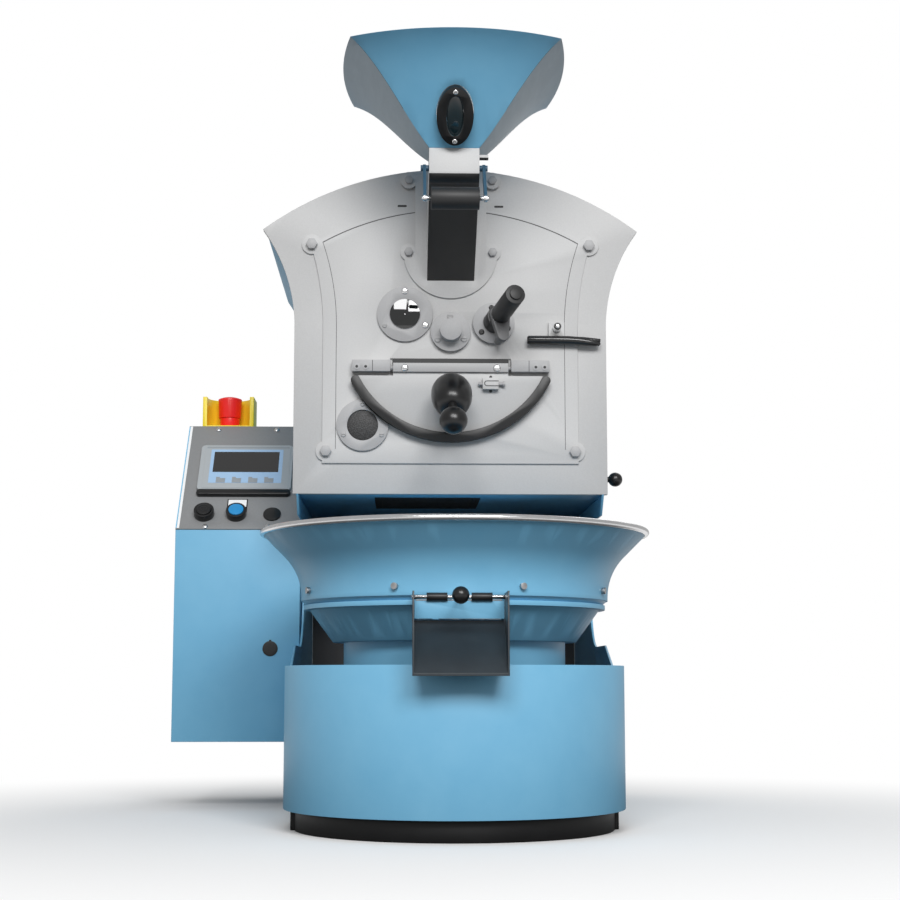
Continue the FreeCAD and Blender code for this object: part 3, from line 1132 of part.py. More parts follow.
# Cooling fan under the deck: housing with a duct to the back, motor and impeller
fan_height = s.deck_height - s.fan_bottom
duct_length = s.back_panel_place - s.flat_gap
fan_outer = cylinder("FanOuter", s.fan_radius, fan_height, (0, 0, s.fan_bottom))
fan_inner = cylinder("FanInner", s.fan_radius - s.fan_sheet, fan_height, (0, 0, s.fan_bottom + s.fan_sheet))
duct_outer = box("FanDuctOuter", (s.fan_duct_half * 2, duct_length, s.fan_duct_half * 2),
                 (-s.fan_duct_half, 0, s.cooler_pipe_height - s.fan_duct_half + s.fan_sheet))
duct_inner = box("FanDuctInner", (s.fan_duct_half * 2 - s.fan_sheet * 2, duct_length,
                                  s.fan_duct_half * 2 - s.fan_sheet * 2),
                 (-s.fan_duct_half + s.fan_sheet, 1,
                  s.cooler_pipe_height - s.fan_duct_half + s.fan_sheet * 2))
fan_bore = cylinder("FanBore", s.fan_shaft + s.running_gap, s.fan_sheet * 3,
                    (0, 0, s.fan_bottom - s.fan_sheet))
fan_case = cut("FanHousing", fuse("FanSolid", [fan_outer, duct_outer]),
               fuse("FanHollow", [fan_inner, duct_inner, fan_bore]))
fan_motor_solid = cylinder("FanMotorSolid", s.fan_motor_radius, s.fan_bottom - base_top, (0, 0, base_top))
fan_motor_bore = cylinder("FanMotorBore", s.fan_shaft + s.running_gap, s.fan_bottom, (0, 0, base_top + 8))
node("fan_housing", group("FanAndMotor", [fan_case, cut("FanMotor", fan_motor_solid, fan_motor_bore)]))
impeller = body("fan_impeller")
impeller_low = s.fan_bottom + s.fan_sheet + s.impeller_gap
impeller_disc = plane_sketch(impeller, "Disc", "XY_Plane", impeller_low)
pad(impeller, circles(impeller_disc, [(0, 0, s.impeller_radius)]), s.impeller_plate)
impeller_shaft = plane_sketch(impeller, "Shaft", "XY_Plane", base_top + 10)
pad(impeller, circles(impeller_shaft, [(0, 0, s.fan_shaft)]),
    impeller_low + s.impeller_height / 2 - base_top - 10)
fan_blade = plane_sketch(impeller, "Blade", "XY_Plane", impeller_low)
blade_root = s.impeller_radius * 0.45
blade_tip = (s.impeller_radius * 0.86, s.impeller_radius * 0.42)
blade_round = s.impeller_radius * 0.8
outline(fan_blade, [
    (blade_root, 0), (*blade_tip, blade_round, 1),
    (blade_tip[0] - s.fan_blade_sheet * 0.8, blade_tip[1] + s.fan_blade_sheet * 0.6),
    (blade_root, s.fan_blade_sheet, blade_round - s.fan_blade_sheet, -1),
])
polar(impeller, pad(impeller, fan_blade, s.impeller_height), 9)

# Discharge tray: bent cheeks and a sloped floor that fit round the bin's cone
tray = doc.addObject("PartDesign::Body", "TrayBody")
tray_side = plane_sketch(tray, "Side", "YZ_Plane")
ledge = s.bin_floor_height - s.tray_sheet
outline(tray_side, [
    (-s.tray_front, s.tray_bottom), (-s.tray_ledge, ledge), (-s.tray_back, ledge), (-s.tray_back, s.tray_top),
    (-s.tray_front, s.tray_top),
])
pad(tray, tray_side, s.tray_half * 2, middle=True)
tray_hollow = plane_sketch(tray, "Hollow", "YZ_Plane")
outline(tray_hollow, [
    (-s.tray_front - 1, s.tray_bottom + s.tray_sheet), (-s.tray_ledge, s.bin_floor_height),
    (-s.tray_back + 1, s.bin_floor_height), (-s.tray_back + 1, s.tray_top + 1),
    (-s.tray_front - 1, s.tray_top + 1),
])
pocket(tray, tray_hollow, (s.tray_half - s.tray_sheet) * 2, middle=True)
tray_eyes = plane_sketch(tray, "ShaftHoles", "YZ_Plane")
circles(tray_eyes, [(-s.gate_shaft_place, s.gate_shaft_height, s.gate_shaft_radius + s.running_gap)])
pocket(tray, tray_eyes, s.tray_half * 2 + 2, middle=True)
tray_cone = cone("TrayCone", s.cone_bottom_radius + s.flat_gap, s.cone_top_radius + s.flat_gap,
                 s.bead_bottom - s.cone_bottom, (0, 0, s.cone_bottom))
tray_ring = cylinder("TrayRing", s.band_radius + s.flat_gap, s.tray_top, (0, 0, s.bead_bottom))
node("bin_tray", cut("BinTray", tray, fuse("TrayCut", [tray_cone, tray_ring])))

# Bin gate: a plate with two lugs on a shaft, lifted by an arm with a ball knob
shaft_at = (-s.gate_shaft_place, s.gate_shaft_height)
plate_half = s.tray_half - s.tray_sheet - s.flat_gap * 2
gate_sheet = box("GateSheet",
                 (plate_half * 2, s.gate_plate_sheet, s.gate_plate_tall - s.gate_shaft_radius - 1),
                 (-plate_half, shaft_at[0] + s.gate_shaft_radius - s.gate_plate_sheet,
                  shaft_at[1] - s.gate_plate_tall))
lugs = [cylinder(f"GateLug{index}", s.gate_lug_radius, s.gate_lug_half * 2,
                 (s.gate_lug_side * side - s.gate_lug_half, *shaft_at), "x")
        for index, side in enumerate((-1, 1))]
lug_bore = cylinder("LugBore", s.gate_shaft_radius + s.running_gap, s.tray_half * 2,
                    (-s.tray_half, *shaft_at), "x")
node("bin_gate", cut("BinGate", fuse("GateSolid", [gate_sheet] + lugs), lug_bore))
gate_shaft = cylinder("GateShaft", s.gate_shaft_radius, s.tray_half * 2 + 1,
                      (-s.tray_half - 0.5, *shaft_at), "x")
gate_arm = cylinder("GateArm", s.gate_arm_radius, s.gate_arm_reach, (0, *shaft_at), "-y")
gate_rod = fuse("GateShaftWhole", [gate_shaft, gate_arm])
knob_solid = sphere("KnobSolid", s.bin_knob_radius, (0, shaft_at[0] - s.gate_arm_reach, shaft_at[1]))
knob_bore = cylinder("KnobBore", s.gate_arm_radius + s.running_gap, s.bin_knob_radius * 2,
                     (0, shaft_at[0] - s.gate_arm_reach, shaft_at[1]), "y")
node("gate_shaft", group("GateShaftAndKnob", [gate_rod, cut("GateKnob", knob_solid, knob_bore)]))


def panel_spot(up, out):
    """Place on the sloped panel: a distance up the slope and one out from it, as (y, z)."""
    return (s.box_front + sine(s.panel_angle) * up - cosine(s.panel_angle) * out,
            s.box_knee + cosine(s.panel_angle) * up + sine(s.panel_angle) * out)


def on_panel(thing, across, up, out):
    """Stand a piece on the sloped panel."""
    return place(thing, (across, *panel_spot(up, out)), (1, 0, 0, 90 - s.panel_angle))


def panel_cylinder(name, radius, length, across, up, out):
    """A cylinder square to the sloped panel."""
    return on_panel(cylinder_free(name, radius, length), across, up, out)


def panel_block(name, size, across, up, out):
    """A block flat on the sloped panel."""
    thing = doc.addObject("Part::Box", name)
    for prop, value in zip(("Length", "Width", "Height"), size):
        bind(thing, prop, value)
    return on_panel(thing, across, up, out)


# Control box: a bent case, open under its sloped panel
case = body("control_box")
panel_top = panel_spot(s.panel_length, 0)
case_side = plane_sketch(case, "Side", "YZ_Plane", -s.box_inner)
outline(case_side, [
    (s.box_front, s.box_bottom), (s.box_back, s.box_bottom), (s.box_back, panel_top[1]), panel_top,
    (s.box_front, s.box_knee),
])
pad(case, case_side, s.box_outer - s.box_inner, back=True)
case_hollow = plane_sketch(case, "Hollow", "YZ_Plane", -s.box_inner - s.box_sheet)
outline(case_hollow, [
    (s.box_front + s.box_sheet, s.box_bottom + s.box_sheet),
    (s.box_back - s.box_sheet, s.box_bottom + s.box_sheet),
    (s.box_back - s.box_sheet, panel_top[1] - s.box_sheet), (panel_top[0], panel_top[1] - s.box_sheet),
    panel_spot(s.panel_length - s.panel_margin, -s.box_sheet), panel_spot(s.panel_length - s.panel_margin, 1),
    panel_spot(s.panel_margin, 1), panel_spot(s.panel_margin, -s.box_sheet),
])
pocket(case, case_hollow, s.box_outer - s.box_inner - s.box_sheet * 2)

# Sloped panel with its two button holes
panel_solid = panel_block("PanelSolid", (s.box_outer - s.box_inner, s.panel_length, s.panel_sheet),
                          -s.box_outer, 0, 0)
button_spots = (("Black", -s.black_button_side), ("Blue", -s.blue_button_side))
button_holes = [panel_cylinder(f"Hole{name}", s.bezel_bore, s.panel_sheet * 5, across, s.button_row,
                               -s.panel_sheet * 2)
                for name, across in button_spots]
node("control_panel", cut("ControlPanel", panel_solid, fuse("ButtonHoles", button_holes)))
node("operator_display", panel_block("OperatorDisplay", (s.display_wide, s.display_tall, s.display_thick),
                                     -s.display_left, s.display_low, s.panel_sheet))
bezels = []
for name, across in button_spots:
    ring = panel_cylinder(f"Bezel{name}", s.bezel_radius, s.bezel_thick, across, s.button_row, s.panel_sheet)
    hole = panel_cylinder(f"BezelBore{name}", s.bezel_bore, s.bezel_thick * 3, across, s.button_row,
                          s.panel_sheet - s.bezel_thick)
    bezels.append(cut(f"BezelRing{name}", ring, hole))
for label, name, across in (("black_button", "BlackButton", -s.black_button_side),
                            ("blue_button", "BlueButton", -s.blue_button_side)):
    node(label, panel_cylinder(name, s.button_radius, s.button_out + s.button_stem, across, s.button_row,
                               s.panel_sheet - s.button_stem))
plug = panel_cylinder("PanelPlug", s.plug_radius, s.plug_thick, -s.plug_side, s.button_row, s.panel_sheet)
node("panel_bezels", group("BezelsAndPlug", bezels + [plug]))

# Emergency stop: a cupped guard, a collar, a sliding neck and a skirted head that turns on it
stop_base = panel_top[1]
stop_at = (-s.stop_side, s.stop_place)
shroud = doc.addObject("PartDesign::Body", "ShroudBody")
shroud_reach = s.shroud_deep / 2
rectangle(plane_sketch(shroud, "Plan", "XY_Plane"),
          -s.shroud_half, s.shroud_half, -shroud_reach, shroud_reach)
pad(shroud, shroud.Group[-1], s.shroud_tall)
cup_radius = s.shroud_half - s.shroud_wall
cup_middle = shroud_reach - s.shroud_wall - cup_radius
outline(plane_sketch(shroud, "Cup", "XY_Plane", s.shroud_tall), [
    (-cup_radius, -shroud_reach - 1), (cup_radius, -shroud_reach - 1), (cup_radius, cup_middle),
    (0, cup_middle + cup_radius, cup_radius, 1), (-cup_radius, cup_middle, cup_radius, 1),
])
pocket(shroud, shroud.Group[-1], s.shroud_tall - s.shroud_floor)
place(shroud, (*stop_at, stop_base))
collar_low = stop_base + s.shroud_floor
collar_top = collar_low + s.stop_collar_tall
stop_ring = cylinder("StopRing", s.stop_collar_radius, s.stop_collar_tall, (*stop_at, collar_low))
stop_bore = cylinder("StopBore", s.stop_neck_radius + s.running_gap, s.stop_collar_tall,
                     (*stop_at, collar_low + 1))
node("stop_shroud", group("GuardAndCollar", [shroud, cut("StopCollar", stop_ring, stop_bore)]))
neck_low = collar_low + 1 + s.stop_travel + s.flat_gap
skirt_low = collar_top - s.stop_skirt_drop
skirt_deep = s.stop_skirt_drop + s.stop_travel + 1
neck_top = skirt_low + s.stop_head_tall * 0.6
node("stop_neck", cylinder("StopNeck", s.stop_neck_radius, neck_top - neck_low, (*stop_at, neck_low)))
dome = s.stop_radius * 0.22
dome_radius = (s.stop_radius * s.stop_radius + dome * dome) / (dome * 2)
head_body = doc.addObject("PartDesign::Body", "HeadBody")
head_profile = plane_sketch(head_body, "Profile", "XZ_Plane")
outline(head_profile, [
    (0, 0), (s.stop_radius * 0.92, 0), (s.stop_radius, s.stop_head_tall - dome),
    (0, s.stop_head_tall, dome_radius, 1),
])
revolve(head_body, head_profile)
place(head_body, (*stop_at, skirt_low))
skirt_bore = cylinder("SkirtBore", s.stop_collar_radius + s.flat_gap, skirt_deep + 1,
                      (*stop_at, skirt_low - 1))
head_bore = cylinder("HeadBore", s.stop_neck_radius + s.running_gap, neck_top + s.running_gap - skirt_low,
                     (*stop_at, skirt_low))
node("stop_head", cut("StopHead", head_body, fuse("HeadBores", [skirt_bore, head_bore])))

# Work out the whole model, look for failures and only then write the pieces
doc.recompute()
failed = [item.Label for item in doc.Objects if {"Invalid", "Error"} & set(item.State)]
failed += [label for label, thing in NODES.items() if thing.Shape.isNull() or not thing.Shape.isValid()]
if failed:
    raise SystemExit(f"failed: {failed}")
os.makedirs("parts", exist_ok=True)
for label, thing in NODES.items():
    thing.Shape.exportStep(f"parts/{label}.step")
print(f"{len(NODES)} sub-parts written")
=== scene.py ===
"""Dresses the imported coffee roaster: finishes, fasteners, controls, studio and camera.

Lengths are in metres. X runs to the right, Y to the back and Z up, and the origin is on the
floor under the middle of the cooling bin.
"""

import json
import logging
import math
from dataclasses import dataclass
from enum import Enum
from functools import lru_cache
from typing import Callable, ClassVar, Optional, Sequence

import bmesh
import bpy
from mathutils import Matrix, Vector


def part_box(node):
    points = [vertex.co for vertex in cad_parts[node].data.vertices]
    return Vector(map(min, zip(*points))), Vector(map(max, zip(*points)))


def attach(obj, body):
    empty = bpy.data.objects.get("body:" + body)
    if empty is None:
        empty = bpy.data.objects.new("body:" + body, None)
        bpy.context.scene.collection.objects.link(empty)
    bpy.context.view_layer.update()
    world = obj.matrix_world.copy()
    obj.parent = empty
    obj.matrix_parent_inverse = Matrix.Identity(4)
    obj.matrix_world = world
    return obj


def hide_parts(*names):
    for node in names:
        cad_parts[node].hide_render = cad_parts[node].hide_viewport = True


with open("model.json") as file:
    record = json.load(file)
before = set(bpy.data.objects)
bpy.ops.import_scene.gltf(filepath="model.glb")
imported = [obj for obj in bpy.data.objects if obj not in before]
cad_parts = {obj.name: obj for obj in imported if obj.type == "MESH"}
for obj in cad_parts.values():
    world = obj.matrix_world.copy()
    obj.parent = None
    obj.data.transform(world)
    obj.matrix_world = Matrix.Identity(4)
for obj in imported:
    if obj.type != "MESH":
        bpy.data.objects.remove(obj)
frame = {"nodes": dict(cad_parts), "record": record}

logging.basicConfig(level=logging.INFO, format="%(message)s")
LOG = logging.getLogger("roaster")

MM = 0.001
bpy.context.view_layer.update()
BODY_OF = {node: body for body, nodes in frame["record"]["behaviour"]["bodies"].items() for node in nodes}
FRONT = Vector((0.0, -1.0, 0.0))
UP = Vector((0.0, 0.0, 1.0))
RIGHT = Vector((1.0, 0.0, 0.0))
Paint = Callable[[Vector, Vector], Optional["Finish"]]

SOFT_EDGE = 0.6 * MM
GRAIN_DEPTH = 0.02 * MM


# Colours and small helpers

def linear(hex_colour: str) -> tuple[float, float, float, float]:
    """Turns an sRGB hex colour into Blender's linear colour.

    Args:
        hex_colour: six hex digits after a #.

    Returns:
        Red, green, blue and an alpha of 1.
    """
    channels = []
    for start in (1, 3, 5):
        value = int(hex_colour[start:start + 2], 16) / 255
        channels.append(value / 12.92 if value <= 0.04045 else ((value + 0.055) / 1.055) ** 2.4)
    return (channels[0], channels[1], channels[2], 1.0)


def mm(*lengths: float) -> tuple[float, ...]:
    """Turns millimetres into metres."""
    return tuple(length * MM for length in lengths)


@lru_cache(maxsize=None)
def corners_of(node: str) -> tuple:
    """The lowest and highest corners of a CAD node at rest, read once."""
    return tuple(tuple(corner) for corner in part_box(node))


def low(node: str) -> Vector:
    """The lowest corner of a CAD node at rest."""
    return Vector(corners_of(node)[0])


def high(node: str) -> Vector:
    """The highest corner of a CAD node at rest."""
    return Vector(corners_of(node)[1])


def middle(node: str) -> Vector:
    """The middle of a CAD node's box at rest."""
    return (low(node) + high(node)) / 2


def facing(direction: Vector) -> Matrix:
    """A turn that points local Z along a direction.

    Args:
        direction: where local Z should point.

    Returns:
        The rotation as a 4 by 4 matrix.
    """
    return direction.to_track_quat("Z", "Y").to_matrix().to_4x4()


def add_node(tree: bpy.types.NodeTree, kind: str, links: Optional[dict] = None,
             values: Optional[dict] = None, **settings: object) -> bpy.types.Node:
    """Adds one node with its settings, its plain inputs and its links.

    Args:
        tree: the node tree that gets the node.
        kind: the node's type name.
        links: output sockets by the input that each one feeds.
        values: plain numbers by the input that each one sets.
        settings: attributes of the node itself.

    Returns:
        The new node.
    """
    item = tree.nodes.new(kind)
    for name, value in settings.items():
        setattr(item, name, value)
    for key, value in (values or {}).items():
        item.inputs[key].default_value = value
    for key, socket in (links or {}).items():
        tree.links.new(socket, item.inputs[key])
    return item


def add_object(name: str, data: bpy.types.ID) -> bpy.types.Object:
    """Puts a new object with its data into the scene."""
    item = bpy.data.objects.new(name, data)
    bpy.context.scene.collection.objects.link(item)
    return item


# Finishes

@dataclass(frozen=True)
class Draft:
    """A material in the making.

    Args:
        tree: the material's node tree.
        place: the object coordinates.
        shader: the surface shader.
    """

    tree: bpy.types.NodeTree
    place: bpy.types.NodeSocket
    shader: bpy.types.Node


@dataclass(frozen=True)
class Finish:
    """A material that starts from what the real surface is made of.

    Args:
        name: the material's name in plain words.
        slot: the record's material slot; not used.
        colour: the main sRGB colour.
        tone: a second sRGB colour that the first drifts into.
        roughness: the shader's roughness.
        drift: the share of the second tone at its strongest.
    """

    name: str
    slot: str
    colour: str
    tone: str
    roughness: float
    drift: float = 0.5

    surface: ClassVar[dict[str, float]] = {}

    def pattern(self, draft: Draft) -> None:
        """Adds the colour drift and the relief; each finish has its own."""
        self.tint(draft, scale=1 / 0.06)

    def blend(self, draft: Draft, factor: bpy.types.NodeSocket, start: float, end: float) -> None:
        """Paints the shader from the colour to the tone.

        Args:
            draft: the material in the making.
            factor: what drives the blend.
            start: the factor up to which the colour is pure.
            end: the factor from which the tone is pure.
        """
        ramp = add_node(draft.tree, "ShaderNodeValToRGB", {"Fac": factor})
        for index, (position, colour) in enumerate(((start, self.colour), (end, self.tone))):
            ramp.color_ramp.elements[index].position = position
            ramp.color_ramp.elements[index].color = linear(colour)
        draft.tree.links.new(ramp.outputs["Color"], draft.shader.inputs["Base Color"])

    def tint(self, draft: Draft, scale: float, stretch: tuple = (1, 1, 1),
             detail: float = 3.0) -> bpy.types.NodeSocket:
        """Lets the colour drift between the two tones.

        Args:
            draft: the material in the making.
            scale: patches of colour to a metre.
            stretch: how much finer the patches are along each axis.
            detail: the noise's detail.

        Returns:
            The noise's value, for whatever else follows it.
        """
        mapping = add_node(draft.tree, "ShaderNodeMapping", {"Vector": draft.place}, {"Scale": stretch})
        noise = add_node(draft.tree, "ShaderNodeTexNoise", {"Vector": mapping.outputs[0]},
                         {"Scale": scale, "Detail": detail, "Roughness": 0.6})
        self.blend(draft, noise.outputs["Fac"], 0.5 - self.drift / 2, 0.5 + self.drift)
        return noise.outputs["Fac"]

    def relief(self, draft: Draft, height: bpy.types.NodeSocket, depth: float, strength: float) -> None:
        """Feeds a height into the shader's normal.

        Args:
            draft: the material in the making.
            height: the height socket.
            depth: the relief's depth in metres.
            strength: the share of it that shows.
        """
        bump = add_node(draft.tree, "ShaderNodeBump", {"Height": height},
                        {"Strength": strength, "Distance": depth})
        draft.tree.links.new(bump.outputs["Normal"], draft.shader.inputs["Normal"])

    def vary_roughness(self, draft: Draft, source: bpy.types.NodeSocket, spread: float) -> None:
        """Lets the roughness drift around its plain value.

        Args:
            draft: the material in the making.
            source: a value from 0 to 1.
            spread: how far the roughness goes each way.
        """
        span = add_node(draft.tree, "ShaderNodeMapRange", {"Value": source},
                        {"To Min": self.roughness - spread, "To Max": self.roughness + spread})
        draft.tree.links.new(span.outputs["Result"], draft.shader.inputs["Roughness"])

    def material(self) -> bpy.types.Material:
        """Builds the material once and returns it each time after."""
        known = bpy.data.materials.get(self.name)
        if known:
            return known
        made = bpy.data.materials.new(self.name)
        made.use_nodes = True
        made.diffuse_color = linear(self.colour)
        tree = made.node_tree
        tree.nodes.clear()
        shader = add_node(tree, "ShaderNodeBsdfPrincipled",
                          values={"Roughness": self.roughness, **self.surface})
        self.pattern(Draft(tree, add_node(tree, "ShaderNodeTexCoord").outputs["Object"], shader))
        add_node(tree, "ShaderNodeOutputMaterial", {"Surface": shader.outputs[0]})
        return made


@dataclass(frozen=True)
class PowderCoat(Finish):
    """Polyester powder baked on sheet steel: satin, with a faint orange peel and soft cloudy tone."""

    peel: float = 0.9 * MM
    streaks: tuple = (1.0, 1.0, 1.0)

    def pattern(self, draft: Draft) -> None:
        """Clouds the tone and adds the peel. The peel is drawn at 0.9 mm so that it shows."""
        cloud = self.tint(draft, scale=1 / 0.05, stretch=self.streaks, detail=5.0)
        peel = add_node(draft.tree, "ShaderNodeTexNoise", {"Vector": draft.place},
                        {"Scale": 1 / self.peel / 4, "Detail": 2.0})
        self.relief(draft, peel.outputs["Fac"], GRAIN_DEPTH, 0.35)
        self.vary_roughness(draft, cloud, 0.07)


@dataclass(frozen=True)
class CastPaint(Finish):
    """Heat-proof enamel sprayed on ground plate: matt grey with a fine sandy grain."""

    grain: float = 0.7 * MM

    def pattern(self, draft: Draft) -> None:
        """Adds sandy specks of tone and relief, drawn at 0.7 mm so that they show."""
        grit = self.tint(draft, scale=1 / self.grain / 3, detail=2.0)
        self.relief(draft, grit, GRAIN_DEPTH, 0.3)
        self.vary_roughness(draft, grit, 0.05)


@dataclass(frozen=True)
class BrushedSteel(Finish):
    """Stainless steel drawn over a belt: long fine scratches that spread the highlights."""

    surface: ClassVar[dict[str, float]] = {"Metallic": 1.0}
    scratch: float = 0.5 * MM
    ratio: float = 24.0

    def pattern(self, draft: Draft) -> None:
        """Draws the scratches, 24 times as long as they are wide."""
        line = self.tint(draft, scale=1 / self.scratch / self.ratio,
                         stretch=(1.0, self.ratio, self.ratio), detail=4.0)
        self.relief(draft, line, 0.01 * MM, 0.4)
        self.vary_roughness(draft, line, 0.1)


@dataclass(frozen=True)
class TurnedSteel(Finish):
    """Steel turned or rolled bright: even, with the finest of clouding."""

    surface: ClassVar[dict[str, float]] = {"Metallic": 1.0}

    def pattern(self, draft: Draft) -> None:
        """Clouds the tone at 8 mm and lets the shine drift with it."""
        self.vary_roughness(draft, self.tint(draft, scale=1 / 0.008, detail=4.0), 0.06)


@dataclass(frozen=True)
class Moulded(Finish):
    """Injection-moulded or pressed plastic: even colour and a fine moulded grain."""

    grain: float = 0.4 * MM
    strength: float = 0.15

    def pattern(self, draft: Draft) -> None:
        """Adds the mould's grain."""
        grit = self.tint(draft, scale=1 / self.grain / 4, detail=2.0)
        self.relief(draft, grit, GRAIN_DEPTH, self.strength)
        self.vary_roughness(draft, grit, 0.03)


@dataclass(frozen=True)
class SmokedGlass(Finish):
    """Heat-proof glass over a dark hollow: near black, with a clear layer and a clean mirror gloss."""

    surface: ClassVar[dict[str, float]] = {"Coat Weight": 1.0, "Coat Roughness": 0.02}


@dataclass(frozen=True)
class WireCloth(Finish):
    """Woven black wire: a grid of small dark pits between the wires, painted shade of the openings."""

    pitch: float = 1.6 * MM

    def pattern(self, draft: Draft) -> None:
        """Draws the cells of the weave at 1.6 mm, darkest in their middles as painted shade of the openings.
        """
        cells = add_node(draft.tree, "ShaderNodeTexVoronoi", {"Vector": draft.place},
                         {"Scale": 1 / self.pitch, "Randomness": 0.6}).outputs["Distance"]
        self.blend(draft, cells, 0.25, 0.7)
        self.relief(draft, cells, 0.4 * MM, 0.8)


BLUE = PowderCoat("powder_coat_blue", "blue_paint", "#74B6DA", "#80BFE0", 0.42)
# Lighter, greyer copy of the blue for the hopper's side panels: painted light.
HOPPER_SIDE_LIT = PowderCoat("powder_coat_blue_painted_side_light", "blue_paint", "#9FB0BB", "#B7C5CE", 0.45,
                         streaks=(2.0, 1.0, 5.0))
# Dark brown for the hopper's creases: painted shade.
CREASE_SHADE = PowderCoat("powder_coat_painted_crease_shade", "blue_paint", "#4A4540", "#5A554F", 0.5)
BAIL_BLUE = PowderCoat("powder_coat_deep_blue", "blue_paint", "#2C4A5E", "#35566C", 0.35)
# Dark grey for the joint lines and splits: painted shade of the grooves and gaps.
JOINT_SHADE_GREY = CastPaint("joint_line_shadow_grey", "grey_cast", "#4C4C4D", "#5A5A5B", 0.7)
PLATE_GREY = CastPaint("heat_enamel_light_grey", "grey_cast", "#BDBDBD", "#C6C6C6", 0.5)
DARK_GREY = PowderCoat("powder_coat_charcoal", "dark_grey", "#3B3C3E", "#46474A", 0.5)
PANEL_GREY = CastPaint("powder_coat_panel_grey", "panel_grey", "#808182", "#8A8B8C", 0.5)
# Black powder coat, also used as painted shade on the chute's underside.
BLACK_METAL = PowderCoat("powder_coat_black_also_painted_shade", "black_metal", "#0E0E0F", "#151516", 0.42)
TRAY_BLUE_BLACK = PowderCoat("powder_coat_blue_black", "dark_grey", "#1D252B", "#26323A", 0.38)
STEEL = BrushedSteel("stainless_steel_brushed", "steel", "#A9A9AA", "#B9B9BA", 0.38)
FLANGE = CastPaint("zinc_flake_coat_grey", "steel", "#A6A6A7", "#B0B0B1", 0.48)
# Black for the lever's polished steel rod and grip: a painted dark reflection.
LEVER_DARK_REFLECTION = Moulded("polished_rod_painted_dark_reflection", "steel", "#1E1E1F", "#2A2A2B", 0.18, strength=0.03)
BRIGHT = TurnedSteel("stainless_steel_rolled", "bright_steel", "#D2D2D3", "#E0E0E0", 0.22)
BLACK_PLASTIC = Moulded("phenolic_resin_black", "black_plastic", "#101011", "#161617", 0.3)
# Black nylon, also used as painted shade in slots and screw sockets.
BLACK_MATT = Moulded("glass_fibre_nylon_black_also_painted_shade", "black_plastic", "#1B1B1C", "#232324", 0.5, grain=0.8 * MM)
BUTTON_BLUE = Moulded("acetal_button_blue", "blue_plastic", "#1F86C1", "#2690CC", 0.35)
STOP_RED = Moulded("acetal_mushroom_red", "red_plastic", "#F31B1B", "#FF2A26", 0.35)
GUARD_YELLOW = Moulded("abs_guard_yellow", "yellow_plastic", "#F2D527", "#FBE33A", 0.4)
DISPLAY_SILVER = Moulded("abs_display_case_silver", "display_plastic", "#A4A9AC", "#ADB2B5", 0.4)
DISPLAY_FILM = Moulded("polyester_key_film_pale_blue", "display_plastic", "#9CBBDA", "#A6C4E1", 0.35)
# White for the legend, and also a painted highlight along the panel's edge.
LABEL_AND_HIGHLIGHT_WHITE = Moulded("polyester_label_white_and_painted_highlight", "display_plastic", "#EDEDED", "#F5F5F5", 0.4)
GLASS = SmokedGlass("borosilicate_glass_dark", "dark_glass", "#0B0D0E", "#0F1416", 0.04)
WINDOW_GLASS = SmokedGlass("polycarbonate_window_smoked", "dark_glass", "#12242A", "#183037", 0.08)
SCREEN_GLASS = SmokedGlass("display_glass_black", "dark_glass", "#060607", "#0A0A0B", 0.22)
COLLAR_GREY = CastPaint("cast_iron_oiled_grey", "steel", "#6E6E6F", "#7A7A7B", 0.45)
KEY_GREY = Moulded("silicone_key_grey", "display_plastic", "#8F9498", "#989DA1", 0.45)
MESH_BLACK = WireCloth("woven_wire_black", "black_metal", "#060606", "#3A3A3B", 0.5)


# Mesh work shared by every sub-assembly

